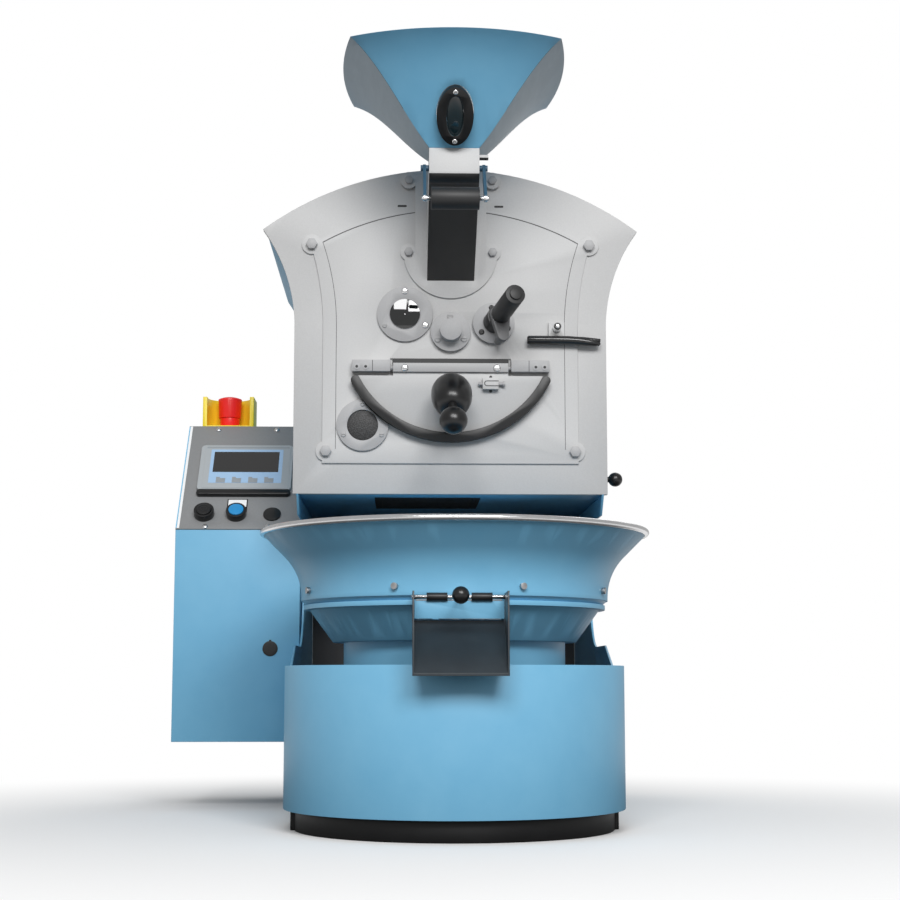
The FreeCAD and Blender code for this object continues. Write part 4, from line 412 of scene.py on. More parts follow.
class Shape:
    """A mesh in the making, in metres, that becomes one named piece."""

    def __init__(self) -> None:
        """Starts an empty mesh."""
        self.mesh = bmesh.new()

    def lathe(self, profile: Sequence[tuple[float, float]], centre: Vector, axis: Vector = UP,
              steps: int = 96) -> "Shape":
        """Spins an outline of radius and height around an axis.

        Args:
            profile: radius and height of each point; a radius of 0 closes a pole.
            centre: the foot of the axis.
            axis: the axis's direction.
            steps: the number of steps round.

        Returns:
            The same shape.
        """
        turn = Matrix.Translation(centre) @ facing(axis)
        rings = []
        for radius, height in profile:
            count = 1 if radius <= 0 else steps
            ring = []
            for step in range(count):
                angle = 2 * math.pi * step / steps
                point = Vector((radius * math.cos(angle), radius * math.sin(angle), height))
                ring.append(self.mesh.verts.new(turn @ point))
            rings.append(ring)
        for lower, upper in zip(rings, rings[1:]):
            for step in range(steps):
                corners = [lower[step % len(lower)], lower[(step + 1) % len(lower)],
                           upper[(step + 1) % len(upper)], upper[step % len(upper)]]
                self.mesh.faces.new(list(dict.fromkeys(corners)))
        return self

    def prism(self, outline: Sequence[tuple[float, float]], depth: float, turn: Matrix) -> "Shape":
        """Raises a flat outline along its local Z.

        Args:
            outline: local X and Y of each corner.
            depth: the height along local Z.
            turn: places the local axes.

        Returns:
            The same shape.
        """
        base = [self.mesh.verts.new(turn @ Vector((x, y, 0.0))) for x, y in outline]
        top = [self.mesh.verts.new(turn @ Vector((x, y, depth))) for x, y in outline]
        self.mesh.faces.new(base[::-1])
        self.mesh.faces.new(top)
        for index in range(len(base)):
            after = (index + 1) % len(base)
            self.mesh.faces.new([base[index], base[after], top[after], top[index]])
        return self

    def block(self, corner: Vector, opposite: Vector) -> "Shape":
        """Adds a box between two opposite corners."""
        outline = [(corner.x, corner.y), (opposite.x, corner.y), (opposite.x, opposite.y),
                   (corner.x, opposite.y)]
        return self.prism(outline, opposite.z - corner.z, Matrix.Translation((0, 0, corner.z)))

    def tube(self, points: Sequence[Vector], radii: Sequence[float], sides: int = 24) -> "Shape":
        """Sweeps a round bar along points, with flat ends.

        Args:
            points: the line's points.
            radii: the bar's radius at each point.
            sides: the number of sides round the bar.

        Returns:
            The same shape.
        """
        rings = []
        for index, point in enumerate(points):
            before = points[max(index - 1, 0)]
            after = points[min(index + 1, len(points) - 1)]
            turn = Matrix.Translation(point) @ facing(after - before)
            rings.append([self.mesh.verts.new(turn @ Vector((radii[index] * math.cos(a),
                                                             radii[index] * math.sin(a), 0)))
                          for a in (2 * math.pi * side / sides for side in range(sides))])
        for lower, upper in zip(rings, rings[1:]):
            for side in range(sides):
                after = (side + 1) % sides
                self.mesh.faces.new([lower[side], lower[after], upper[after], upper[side]])
        self.mesh.faces.new(rings[0][::-1])
        self.mesh.faces.new(rings[-1])
        return self

    def ribbon(self, points: Sequence[tuple[float, float]], width: float, thick: float,
               turn: Matrix) -> "Shape":
        """Lays a flat strip along a line, such as a joint between two plates.

        Args:
            points: local X and Y of each point.
            width: the strip's width.
            thick: how far it stands off local Z 0.
            turn: places the local axes.

        Returns:
            The same shape.
        """
        near, far = [], []
        for index, point in enumerate(points):
            before = Vector(points[max(index - 1, 0)])
            after = Vector(points[min(index + 1, len(points) - 1)])
            along = (after - before).normalized()
            side = Vector((-along.y, along.x)) * width / 2
            near.append(tuple(Vector(point) + side))
            far.append(tuple(Vector(point) - side))
        rows = [[self.mesh.verts.new(turn @ Vector((x, y, height))) for x, y in line]
                for line, height in ((near, 0.0), (near, thick), (far, thick), (far, 0.0))]
        for first, second in zip(rows, rows[1:] + rows[:1]):
            for index in range(len(points) - 1):
                self.mesh.faces.new([first[index], first[index + 1], second[index + 1], second[index]])
        self.mesh.faces.new([row[0] for row in rows])
        self.mesh.faces.new([row[-1] for row in rows[::-1]])
        return self

    def piece(self, name: str, finish: Finish, body: str, edge: float = 0.0,
              sharp: float = 35.0) -> bpy.types.Object:
        """Turns the mesh into a dressed piece that rides on a body.

        Args:
            name: the piece's name.
            finish: its finish.
            body: the CAD body that it rides on.
            edge: the radius of its softened edges, or 0.
            sharp: the angle in degrees from which an edge counts as sharp.

        Returns:
            The new object.
        """
        bmesh.ops.remove_doubles(self.mesh, verts=self.mesh.verts, dist=1e-6)
        bmesh.ops.recalc_face_normals(self.mesh, faces=self.mesh.faces)
        data = bpy.data.meshes.new(name)
        self.mesh.to_mesh(data)
        self.mesh.free()
        return dress(add_object(name, data), finish, body, edge, sharp)


def dress(item: bpy.types.Object, finish: Finish, body: str, edge: float = 0.0,
          sharp: float = 35.0) -> bpy.types.Object:
    """Softens a piece's edges, gives it its finish and lets it ride on a body.

    Args:
        item: the piece, whose place is in its mesh.
        finish: its finish.
        body: the CAD body that it rides on.
        edge: the radius of its softened edges, or 0.
        sharp: the angle in degrees from which an edge counts as sharp.

    Returns:
        The same object.
    """
    if edge:
        soften = item.modifiers.new("Soft edges", "BEVEL")
        soften.width = edge
        soften.segments = 2
        soften.limit_method = "ANGLE"
        soften.angle_limit = math.radians(sharp)
        apply_modifiers(item)
    item.data.materials.clear()
    item.data.materials.append(finish.material())
    item.data.set_sharp_from_angle(angle=math.radians(sharp))
    for face in item.data.polygons:
        face.use_smooth = True
    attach(item, body)
    LOG.info("piece %s on %s", item.name, body)
    return item


def apply_modifiers(item: bpy.types.Object) -> None:
    """Replaces a piece's mesh by its evaluated one and removes the modifiers."""
    bpy.context.view_layer.update()
    evaluated = item.evaluated_get(bpy.context.evaluated_depsgraph_get())
    result = bpy.data.meshes.new_from_object(evaluated)
    item.modifiers.clear()
    item.data = result


@dataclass
class Refined:
    """A welded copy of a CAD node with softened edges, which stands for the node.

    Args:
        node: the CAD node.
        finish: its finish.
        edge: the radius of its softened edges.
        paint: names another finish for some faces, from a corner's place and the face's normal.
        sharp: the angle in degrees from which an edge counts as sharp.
    """

    node: str
    finish: Finish
    edge: float = SOFT_EDGE
    paint: Optional[Paint] = None
    sharp: float = 32.0

    def build(self) -> bpy.types.Object:
        """Copies, welds and dresses the node."""
        item = add_object(f"{self.node}_dressed", frame["nodes"][self.node].data.copy())
        work = bmesh.new()
        work.from_mesh(item.data)
        bmesh.ops.remove_doubles(work, verts=work.verts, dist=2e-6)
        bmesh.ops.dissolve_limit(work, angle_limit=math.radians(1.0), verts=work.verts, edges=work.edges)
        work.to_mesh(item.data)
        work.free()
        dress(item, self.finish, BODY_OF[self.node], self.edge, self.sharp)
        if self.paint:
            self.paint_faces(item)
        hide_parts(self.node)
        return item

    def paint_faces(self, item: bpy.types.Object) -> None:
        """Gives a face the finish that the paint rule names at every one of its corners."""
        known = {self.finish.name: 0}
        for face in item.data.polygons:
            corners = [item.data.vertices[index].co for index in face.vertices]
            named = {self.paint(corner, face.normal) for corner in corners}
            other = named.pop() if len(named) == 1 else None
            if other is None:
                continue
            if other.name not in known:
                item.data.materials.append(other.material())
                known[other.name] = len(known)
            face.material_index = known[other.name]


# Fasteners, made by node trees

class Drive(Enum):
    """What a screw's head is turned by."""

    SOCKET = "hexagon socket"
    SLOT = "slot"
    PLAIN = "no drive"


@dataclass
class Fasteners:
    """A group of equal screw heads on one body, made by a node tree.

    Args:
        name: the piece's name.
        body: the CAD body that they ride on.
        places: the foot of each head.
        radius: the head's radius.
        tall: the head's height.
        drive: what turns the screw.
        finish: the heads' finish.
        dome: the share of the head's height that its rounded top takes.
        drive_size: the drive's size as a share of the head's radius.
        directions: where each head points; the last one holds for the rest.
    """

    name: str
    body: str
    places: Sequence[Vector]
    radius: float
    tall: float
    drive: Drive
    finish: Finish
    dome: float = 0.35
    drive_size: float = 0.5
    directions: Sequence[Vector] = (FRONT,)

    def tree(self) -> bpy.types.NodeTree:
        """Builds the tree that puts a head on each point, or finds the one built before.

        Returns:
            The node tree.
        """
        title = f"Screw heads, {self.drive.value}"
        known = bpy.data.node_groups.get(title)
        if known:
            return known
        tree = bpy.data.node_groups.new(title, "GeometryNodeTree")
        face = tree.interface
        face.new_socket("Places", in_out="INPUT", socket_type="NodeSocketGeometry")
        for label in ("Head radius", "Head height", "Dome", "Drive radius"):
            face.new_socket(label, in_out="INPUT", socket_type="NodeSocketFloat")
        face.new_socket("Finish", in_out="INPUT", socket_type="NodeSocketMaterial")
        face.new_socket("Heads", in_out="OUTPUT", socket_type="NodeSocketGeometry")
        given = add_node(tree, "NodeGroupInput").outputs
        straight = add_node(tree, "ShaderNodeMath", {0: given["Head height"], 1: given["Dome"]},
                            operation="SUBTRACT")
        stem = add_node(tree, "GeometryNodeMeshCylinder",
                        {"Radius": given["Head radius"], "Depth": straight.outputs[0]}, {"Vertices": 32})
        half = add_node(tree, "ShaderNodeMath", {0: straight.outputs[0]}, {1: 0.5}, operation="MULTIPLY")
        lift = add_node(tree, "ShaderNodeCombineXYZ", {"Z": half.outputs[0]})
        stand = add_node(tree, "GeometryNodeTransform",
                         {"Geometry": stem.outputs["Mesh"], "Translation": lift.outputs[0]})
        up = add_node(tree, "ShaderNodeCombineXYZ", values={"Z": 1.0})
        body = stand.outputs[0]
        chosen = self.top_faces(tree)
        for rise, shrink in ((0.55, 0.9), (0.3, 0.82), (0.15, 0.8)):
            step = add_node(tree, "ShaderNodeMath", {0: given["Dome"]}, {1: rise}, operation="MULTIPLY")
            raised = add_node(tree, "GeometryNodeExtrudeMesh",
                              {"Mesh": body, "Selection": chosen, "Offset": up.outputs[0],
                               "Offset Scale": step.outputs[0]}, {"Individual": False})
            shrunk = add_node(tree, "GeometryNodeScaleElements",
                              {"Geometry": raised.outputs["Mesh"], "Selection": raised.outputs["Top"]},
                              {"Scale": shrink})
            body = shrunk.outputs[0]
            chosen = raised.outputs["Top"]
        head = self.cut_drive(tree, body, given)
        pointing = add_node(tree, "GeometryNodeInputNamedAttribute", values={"Name": "pointing"},
                            data_type="FLOAT_VECTOR")
        turn = add_node(tree, "FunctionNodeAlignRotationToVector", {"Vector": pointing.outputs["Attribute"]},
                        axis="Z")
        spread = add_node(tree, "GeometryNodeInstanceOnPoints",
                          {"Points": given["Places"], "Instance": head, "Rotation": turn.outputs[0]})
        real = add_node(tree, "GeometryNodeRealizeInstances", {"Geometry": spread.outputs[0]})
        dressed = add_node(tree, "GeometryNodeSetMaterial",
                           {"Geometry": real.outputs[0], "Material": given["Finish"]})
        add_node(tree, "NodeGroupOutput", {"Heads": dressed.outputs[0]})
        return tree

    def top_faces(self, tree: bpy.types.NodeTree) -> bpy.types.NodeSocket:
        """Chooses the faces that look up."""
        normal = add_node(tree, "GeometryNodeInputNormal")
        parts = add_node(tree, "ShaderNodeSeparateXYZ", {0: normal.outputs[0]})
        test = add_node(tree, "ShaderNodeMath", {0: parts.outputs["Z"]}, {1: 0.9}, operation="GREATER_THAN")
        return test.outputs[0]

    def cut_drive(self, tree: bpy.types.NodeTree, head: bpy.types.NodeSocket,
                  given: object) -> bpy.types.NodeSocket:
        """Cuts the socket or slot out of a head.

        Args:
            tree: the node tree.
            head: the head's geometry.
            given: the tree's inputs.

        Returns:
            The head with its drive.
        """
        if self.drive is Drive.PLAIN:
            return head
        deep = add_node(tree, "ShaderNodeMath", {0: given["Head height"]}, {1: 1.1}, operation="MULTIPLY")
        lift = add_node(tree, "ShaderNodeCombineXYZ", {"Z": given["Head height"]})
        if self.drive is Drive.SOCKET:
            tool = add_node(tree, "GeometryNodeMeshCylinder",
                            {"Radius": given["Drive radius"], "Depth": deep.outputs[0]}, {"Vertices": 6})
        else:
            long = add_node(tree, "ShaderNodeMath", {0: given["Head radius"]}, {1: 3.0}, operation="MULTIPLY")
            size = add_node(tree, "ShaderNodeCombineXYZ",
                            {"X": long.outputs[0], "Y": given["Drive radius"], "Z": deep.outputs[0]})
            tool = add_node(tree, "GeometryNodeMeshCube", {"Size": size.outputs[0]})
        moved = add_node(tree, "GeometryNodeTransform",
                         {"Geometry": tool.outputs["Mesh"], "Translation": lift.outputs[0]})
        carved = add_node(tree, "GeometryNodeMeshBoolean", {"Mesh 1": head, "Mesh 2": moved.outputs[0]},
                          operation="DIFFERENCE")
        return carved.outputs["Mesh"]

    def build(self) -> bpy.types.Object:
        """Runs the tree on the places and keeps the result as a plain mesh.

        Returns:
            The heads as one piece.
        """
        data = bpy.data.meshes.new(self.name)
        data.from_pydata([tuple(place) for place in self.places], [], [])
        pointing = data.attributes.new("pointing", "FLOAT_VECTOR", "POINT")
        for index, item in enumerate(pointing.data):
            item.vector = self.directions[min(index, len(self.directions) - 1)]
        item = add_object(self.name, data)
        tree = self.tree()
        maker = item.modifiers.new("Heads", "NODES")
        maker.node_group = tree
        settings = {"Head radius": self.radius, "Head height": self.tall, "Dome": self.tall * self.dome,
                    "Drive radius": self.radius * self.drive_size,
                    "Finish": self.finish.material()}
        for socket in tree.interface.items_tree:
            if socket.in_out == "INPUT" and socket.name in settings:
                maker[socket.identifier] = settings[socket.name]
        apply_modifiers(item)
        return dress(item, self.finish, self.body)


def rounded(left: float, right: float, bottom: float, top: float, corner: float,
            steps: int = 6) -> list[tuple[float, float]]:
    """The outline of a rectangle with rounded corners.

    Args:
        left: its lowest X.
        right: its highest X.
        bottom: its lowest Y.
        top: its highest Y.
        corner: the corners' radius.
        steps: the steps round each corner.

    Returns:
        The outline's points, counter-clockwise.
    """
    points = []
    middles = ((right - corner, top - corner), (left + corner, top - corner),
               (left + corner, bottom + corner), (right - corner, bottom + corner))
    for quarter, (x, y) in enumerate(middles):
        for step in range(steps + 1):
            angle = math.pi / 2 * (quarter + step / steps)
            points.append((x + corner * math.cos(angle), y + corner * math.sin(angle)))
    return points


def front_plane(height: float, back: float) -> Matrix:
    """Local X to the right, local Y up and local Z to the front, from a place on the middle plane.

    Args:
        height: the place's height.
        back: the place's Y.

    Returns:
        The turn and the place as one matrix.
    """
    return Matrix.Translation((0, back, height)) @ Matrix.Rotation(math.radians(90), 4, "X")


def ring_of(centre: Vector, radius: float, angles: Sequence[float]) -> list[Vector]:
    """Places on a circle that faces the front.

    Args:
        centre: the circle's middle.
        radius: its radius.
        angles: degrees from the right, counter-clockwise as seen from the front.

    Returns:
        One place for each angle.
    """
    return [centre + radius * (RIGHT * math.cos(math.radians(a)) + UP * math.sin(math.radians(a)))
            for a in angles]


# Studio

@dataclass
class Studio:
    """The white room: floor, sky, soft lamps and the camera."""

    floor_radius: float = 6.0
    camera_place: tuple = (-0.0648, -2.175, 0.1855)
    camera_pitch: float = 7.6
    camera_yaw: float = 1.56
    camera_lens: float = 68.44

    def build(self) -> None:
        """Builds the whole studio."""
        self.floor()
        self.sky()
        self.lamp("key", (-0.6, -3.8, 2.9), (0.0, 0.1, 0.5), 1.5, 82.0)
        self.lamp("fill", (1.0, -3.8, 2.6), (0.0, 0.1, 0.5), 1.4, 92.0)
        self.lamp("back", (0.6, 2.2, 1.9), (0.0, 0.3, 0.6), 1.2, 8.0)
        self.window_lamps()
        self.camera()

    def window_lamps(self) -> None:
        """Hangs small window panes where the sight glass mirrors them to the camera."""
        pane = 0.013
        for left, bottom, columns in ((-0.0925, 1.219, 2), (-0.040, 1.226, 1)):
            for column in range(columns):
                for row in range(3):
                    x, z = left + column * (pane + 0.004), bottom + row * (pane + 0.004)
                    name = f"window_pane_{column}_{row}_{columns}"
                    self.lamp(name, (x, -2.4, z), (x, 0.169, 0.69), pane, 0.02)

    def floor(self) -> None:
        """Lays the pale floor, which turns into the white backdrop further out."""
        data = bpy.data.meshes.new("floor")
        item = add_object("floor", data)
        work = bmesh.new()
        bmesh.ops.create_circle(work, cap_ends=True, segments=128, radius=self.floor_radius)
        work.to_mesh(data)
        work.free()
        made = bpy.data.materials.new("white_studio_floor")
        made.use_nodes = True
        tree = made.node_tree
        tree.nodes.clear()
        place = add_node(tree, "ShaderNodeTexCoord").outputs["Object"]
        reach = add_node(tree, "ShaderNodeVectorMath", {0: place}, operation="LENGTH")
        fade = add_node(tree, "ShaderNodeMapRange", {"Value": reach.outputs["Value"]},
                        {"From Min": 0.5, "From Max": 1.3}, interpolation_type="SMOOTHSTEP")
        rays = add_node(tree, "ShaderNodeLightPath").outputs
        seen = add_node(tree, "ShaderNodeMath", {0: rays["Is Camera Ray"], 1: rays["Is Glossy Ray"]},
                        operation="MAXIMUM")
        seen = add_node(tree, "ShaderNodeMath", {0: seen.outputs[0], 1: rays["Is Transmission Ray"]},
                        operation="MAXIMUM")
        share = add_node(tree, "ShaderNodeMath", {0: seen.outputs[0], 1: fade.outputs["Result"]},
                         operation="MULTIPLY")
        dim = add_node(tree, "ShaderNodeMix", {"Factor": rays["Is Camera Ray"]},
                       {"A": 0.15, "B": 0.86})
        matt = add_node(tree, "ShaderNodeBsdfDiffuse", {"Color": dim.outputs["Result"]})
        glow = add_node(tree, "ShaderNodeEmission", values={"Color": linear("#FFFFFF")})
        mixed = add_node(tree, "ShaderNodeMixShader",
                         {0: share.outputs[0], 1: matt.outputs[0], 2: glow.outputs[0]})
        add_node(tree, "ShaderNodeOutputMaterial", {"Surface": mixed.outputs[0]})
        data.materials.append(made)

    def sky(self) -> None:
        """Sets a soft sky that the camera sees as white."""
        world = bpy.data.worlds.new("white_sky")
        bpy.context.scene.world = world
        world.use_nodes = True
        tree = world.node_tree
        tree.nodes.clear()
        rays = add_node(tree, "ShaderNodeLightPath").outputs
        soft = add_node(tree, "ShaderNodeBackground", values={"Color": linear("#FFFFFF"), "Strength": 0.5})
        white = add_node(tree, "ShaderNodeBackground", values={"Color": linear("#FFFFFF"), "Strength": 1.0})
        mixed = add_node(tree, "ShaderNodeMixShader",
                         {0: rays["Is Camera Ray"], 1: soft.outputs[0], 2: white.outputs[0]})
        add_node(tree, "ShaderNodeOutputWorld", {"Surface": mixed.outputs[0]})

    def lamp(self, name: str, place: tuple, target: tuple, size: float, power: float) -> None:
        """Hangs one soft square lamp.

        Args:
            name: the lamp's name.
            place: where it hangs.
            target: what it points at.
            size: its side.
            power: its power in watts.
        """
        data = bpy.data.lights.new(name, "AREA")
        data.size = size
        data.energy = power
        item = add_object(name, data)
        item.location = place
        item.rotation_euler = (Vector(place) - Vector(target)).to_track_quat("Z", "Y").to_euler()

    def camera(self) -> None:
        """Sets the camera at the photograph's place."""
        data = bpy.data.cameras.new("camera")
        data.lens = self.camera_lens
        data.sensor_width = 36.0
        data.clip_end = 60.0
        item = add_object("camera", data)
        item.location = self.camera_place
        item.rotation_euler = (math.radians(90 + self.camera_pitch), 0.0, -math.radians(self.camera_yaw))
        bpy.context.scene.camera = item
        bpy.context.scene.view_settings.view_transform = "Standard"


# Sub-assemblies

def refine(*rows: tuple) -> None:
    """Dresses CAD nodes in order.

    Args:
        rows: node, finish and, where they differ, edge and paint rule of each.
    """
    for row in rows:
        Refined(*row).build()


def fasten(body: str, *rows: tuple) -> None:
    """Adds groups of screw heads to one body.

    Args:
        body: the CAD body that they ride on.
        rows: name, places, radius and height in millimetres, drive, finish and, where they
            differ, dome, drive size and directions of each group.
    """
    for name, places, radius, tall, *rest in rows:
        Fasteners(name, body, places, radius * MM, tall * MM, *rest).build()


class Base:
    """The round base with its plinth, deck and rear panel."""

    def build(self) -> None:
        """Dresses the base's nodes."""
        refine(("base_plinth", BLACK_METAL, 1.0 * MM), ("base_shell", BLUE), ("base_deck", DARK_GREY),
               ("base_back_panel", DARK_GREY))


class BodyCase:
    """The body's sheet case, its rear plate, floor, bulkhead, vents, exhaust and side knob."""

    def build(self) -> None:
        """Dresses the case's nodes."""
        refine(("body_shell", BLUE), ("body_floor", BLUE), ("bulkhead", DARK_GREY), ("rear_plate", BLUE),
               ("exhaust_collar", STEEL), ("vent_grille", MESH_BLACK, 0.3 * MM),
               ("side_knob", BLACK_PLASTIC, 0.2 * MM))


@dataclass
class Face:
    """The grey front plate with its frame, chute plate, flanges, lever and fasteners.

    Args:
        line_width: the width of a joint line between two plates, drawn as a strip of painted shade.
        line_thick: how far a joint line stands off the plate.
        inset_side: half the width of the inner plate at its foot.
        inset_corner: half its width at its upper corners.
        inset_foot: the height of its foot.
        inset_shoulder: the height of its upper corners.
        inset_side_arc: the radius of its waisted sides.
        inset_crown_arc: the radius of its crown.
        inset_crown_gap: half the gap in the crown, where the chute's plate lies.
        frame_front: the Y of the frame's front face.
        flange_front: the Y of the cap's and the trier flange's front faces.
        opening: the radius within which a flange holds glass or mesh.
        trier_place: the X and Z of the trier's axis at its flange.
        boss_depth: the Y between which the trier's boss stands.
        boss_reach: the radius round the trier's axis that holds the boss.
        tab_foot: the height below which the lever is bare rod.
        split_place: how far the hinge blocks' splits stand from the middle plane.
        slot_place: how far the plate's slots stand from the middle plane.
        block_screws: how far the hinge blocks' screws stand from the middle plane.
        block_screw_height: the height of those screws.
    """

    line_width: float = 0.9 * MM
    line_thick: float = 0.12 * MM
    inset_side: float = 159.5 * MM
    inset_corner: float = 179.5 * MM
    inset_foot: float = 500.0 * MM
    inset_shoulder: float = 793.0 * MM
    inset_side_arc: float = 377.0 * MM
    inset_crown_arc: float = 364.6 * MM
    inset_crown_gap: float = 50.0 * MM
    frame_front: float = 174.0 * MM
    flange_front: float = 167.0 * MM
    opening: float = 21.3 * MM
    trier_place: tuple = mm(60, 677.5)
    boss_depth: tuple = mm(141, 166.5)
    boss_reach: float = 24.0 * MM
    tab_foot: float = 658.6 * MM
    split_place: float = 108.6 * MM
    slot_place: float = 68.3 * MM
    block_screws: tuple = mm(118.0, 130.3)
    block_screw_height: float = 613.5 * MM

    def build(self) -> None:
        """Dresses the face's nodes and adds its joint lines and screws."""
        refine(*[(node, PLATE_GREY, 0.5 * MM) for node in ("front_plate", "face_frame", "chute_plate")],
               ("sight_glass", FLANGE, 0.4 * MM, self.inside("sight_glass", GLASS)),
               ("air_flange", FLANGE, 0.4 * MM, self.inside("air_flange", MESH_BLACK)),
               *[(node, FLANGE, 0.4 * MM) for node in ("bearing_cap", "hinge_blocks", "face_bolts",
                                                       "chute_bolts")],
               ("trier_flange", FLANGE, 0.4 * MM, self.boss_paint), ("trier_collar", COLLAR_GREY),
               ("trier_scoop", STEEL, 0.3 * MM), ("air_lever", PLATE_GREY, 0.3 * MM, self.rod_paint),
               ("trier_grip", BLACK_MATT))
        self.joint_lines()
        self.screws()

    def inside(self, node: str, finish: Finish) -> Paint:
        """Makes the rule that paints the disc inside a flange.

        Args:
            node: the flange's node.
            finish: the disc's finish.

        Returns:
            The paint rule.
        """
        centre = middle(node)

        def rule(place: Vector, normal: Vector) -> Optional[Finish]:
            """Paints what lies within the flange's opening."""
            reach = math.hypot(place.x - centre.x, place.z - centre.z)
            return finish if reach < self.opening else None

        return rule

    def boss_paint(self, place: Vector, normal: Vector) -> Optional[Finish]:
        """Blackens the trier's slanted boss, which stands off its flange."""
        away = math.hypot(place.x - self.trier_place[0], place.z - self.trier_place[1])
        front, back = self.boss_depth
        return BLACK_METAL if front < place.y < back and away < self.boss_reach else None

    def rod_paint(self, place: Vector, normal: Vector) -> Optional[Finish]:
        """Paints the lever's rod below the grey tab black: a painted dark reflection on its polished steel.
        """
        return LEVER_DARK_REFLECTION if place.z < self.tab_foot else None

    def waist(self, side: int) -> list[tuple[float, float]]:
        """The inner plate's waisted edge on one side, from its foot to its upper corner."""
        arc = self.inset_side_arc
        rise = math.sqrt(arc ** 2 - (arc - (self.inset_corner - self.inset_side)) ** 2)
        outline = [(side * self.inset_side, self.inset_foot)]
        for climb in (rise * step / 16 for step in range(17)):
            swing = arc - math.sqrt(arc ** 2 - climb ** 2)
            outline.append((side * (self.inset_side + swing), self.inset_shoulder - rise + climb))
        return outline

    def crown(self, side: int) -> list[tuple[float, float]]:
        """The inner plate's crown on one side, from its upper corner to the chute's plate."""
        centre = self.inset_shoulder - math.sqrt(self.inset_crown_arc ** 2 - self.inset_corner ** 2)
        reaches = [self.inset_corner + (self.inset_crown_gap - self.inset_corner) * step / 24
                   for step in range(25)]
        return [(side * across, centre + math.sqrt(self.inset_crown_arc ** 2 - across ** 2))
                for across in reaches]

    def joint_lines(self) -> None:
        """Draws the inner plate's outline, the hinge blocks' splits and the slots of plate and hinge as dark
        strips: painted shade of the grooves, the gaps and the openings.
        """
        plane = front_plane(0, self.frame_front)
        foot, top = low("hinge_blocks").z + 0.4 * MM, high("hinge_blocks").z - 0.4 * MM
        lines, splits, slots = Shape(), Shape(), Shape()
        for side in (-1, 1):
            lines.ribbon(self.waist(side), self.line_width * 0.8, self.line_thick, plane)
            lines.ribbon(self.crown(side), self.line_width * 1.5, self.line_thick, plane)
            splits.ribbon([(side * self.split_place, foot), (side * self.split_place, top)],
                          self.line_width, self.line_thick, front_plane(0, low("hinge_blocks").y))
            # The plate's slots and the hinge's slot are flat black strips: painted shade of the openings.
            left, right = side * self.slot_place - 6.5 * MM, side * self.slot_place + 6.5 * MM
            slots.prism(rounded(left, right, *mm(845.5, 848.5, 1.4)), 0.2 * MM,
                        front_plane(0, low("front_plate").y))
        # The joint lines and the splits are strips of painted shade along the grooves and gaps.
        lines.piece("inner_plate_joint_shade", JOINT_SHADE_GREY, BODY_OF["face_frame"])
        splits.piece("hinge_block_split_shade", JOINT_SHADE_GREY, BODY_OF["hinge_blocks"])
        slots.piece("plate_slot_shade", BLACK_MATT, BODY_OF["front_plate"])
        Shape().prism(rounded(*mm(-81, 81, 617.4, 627.6, 2.4)), 0.15 * MM, plane).piece(
            "hinge_slot_shade", BLACK_MATT, BODY_OF["face_frame"])

    def screws(self) -> None:
        """Adds the screws of the flanges and the hinge blocks, and black discs of painted shade in the hinge
        blocks' sockets.
        """
        sight, cap, air = middle("sight_glass"), middle("bearing_cap"), middle("air_flange")
        sight.y = air.y = low("air_flange").y
        cap.y = self.flange_front
        trier = Vector((self.trier_place[0], self.flange_front, self.trier_place[1]))
        holes = [Vector((side * across, low("hinge_blocks").y, self.block_screw_height))
                 for side in (-1, 1) for across in self.block_screws]
        fasten(BODY_OF["front_plate"],
               ("sight_screws_bright", ring_of(sight, 32.6 * MM, (90, -29)), 4.8, 1.8, Drive.PLAIN,
                BRIGHT, 0.8),
               ("sight_screw_grey", ring_of(sight, 32.6 * MM, (210,)), 3.4, 1.4, Drive.SLOT, FLANGE,
                0.35, 0.25),
               ("bearing_cap_screws", ring_of(cap, 21.4 * MM, (92, 212, 330)), 4.4, 1.8, Drive.SLOT,
                FLANGE, 0.35, 0.22),
               ("trier_flange_screws", ring_of(trier, 21.5 * MM, (218, 338, 98)), 3.8, 2.0, Drive.SOCKET,
                BLACK_METAL),
               ("air_flange_screws", ring_of(air, 29.5 * MM, (90, 207, -27)), 3.4, 1.6, Drive.SLOT,
                FLANGE, 0.35, 0.25),
               ("hinge_block_screws", holes, 4.6, 0.9, Drive.PLAIN, FLANGE),
               # Black discs on the hinge block screws: painted shade of their sockets.
               ("hinge_block_socket_shade", holes, 2.0, 1.1, Drive.PLAIN, BLACK_MATT, 0.1))


@dataclass
class Lever:
    """The air lever's drooping grip and the pivot screw on its square tab.

    Args:
        rod_back: the Y of the rod's axis.
        pivot: the X and Z of the pivot screw.
        pivot_stand: how far the pivot screw stands in front of the frame.
    """

    rod_back: float = 165.7 * MM
    pivot: tuple = mm(148, 670)
    pivot_stand: float = 12.5 * MM

    def build(self) -> None:
        """Adds the grip, the washer and the bright screw, which turn with the lever."""
        body = BODY_OF["air_lever"]
        sections = ((107, 653, 5.4), (109, 653, 6.2), (150, 653, 6.2), (165, 652.8, 6.2), (178, 652, 6.0),
                    (190, 650.6, 5.4), (200, 649.2, 4.4), (207, 648.2, 3.0), (209, 648, 1.6))
        line = [Vector((x * MM, self.rod_back, z * MM)) for x, z, _ in sections]
        # The grip is polished steel, painted black as a dark reflection.
        Shape().tube(line, [radius * MM for _, _, radius in sections]).piece(
            "lever_grip", LEVER_DARK_REFLECTION, body, sharp=60.0)
        place = Vector((self.pivot[0], low("face_frame").y - self.pivot_stand, self.pivot[1]))
        fasten(body, ("lever_washer", [place], 5.2, 0.8, Drive.PLAIN, BLACK_METAL),
               ("lever_screw", [place + FRONT * 0.8 * MM], 3.2, 1.6, Drive.PLAIN, BRIGHT, 0.8))


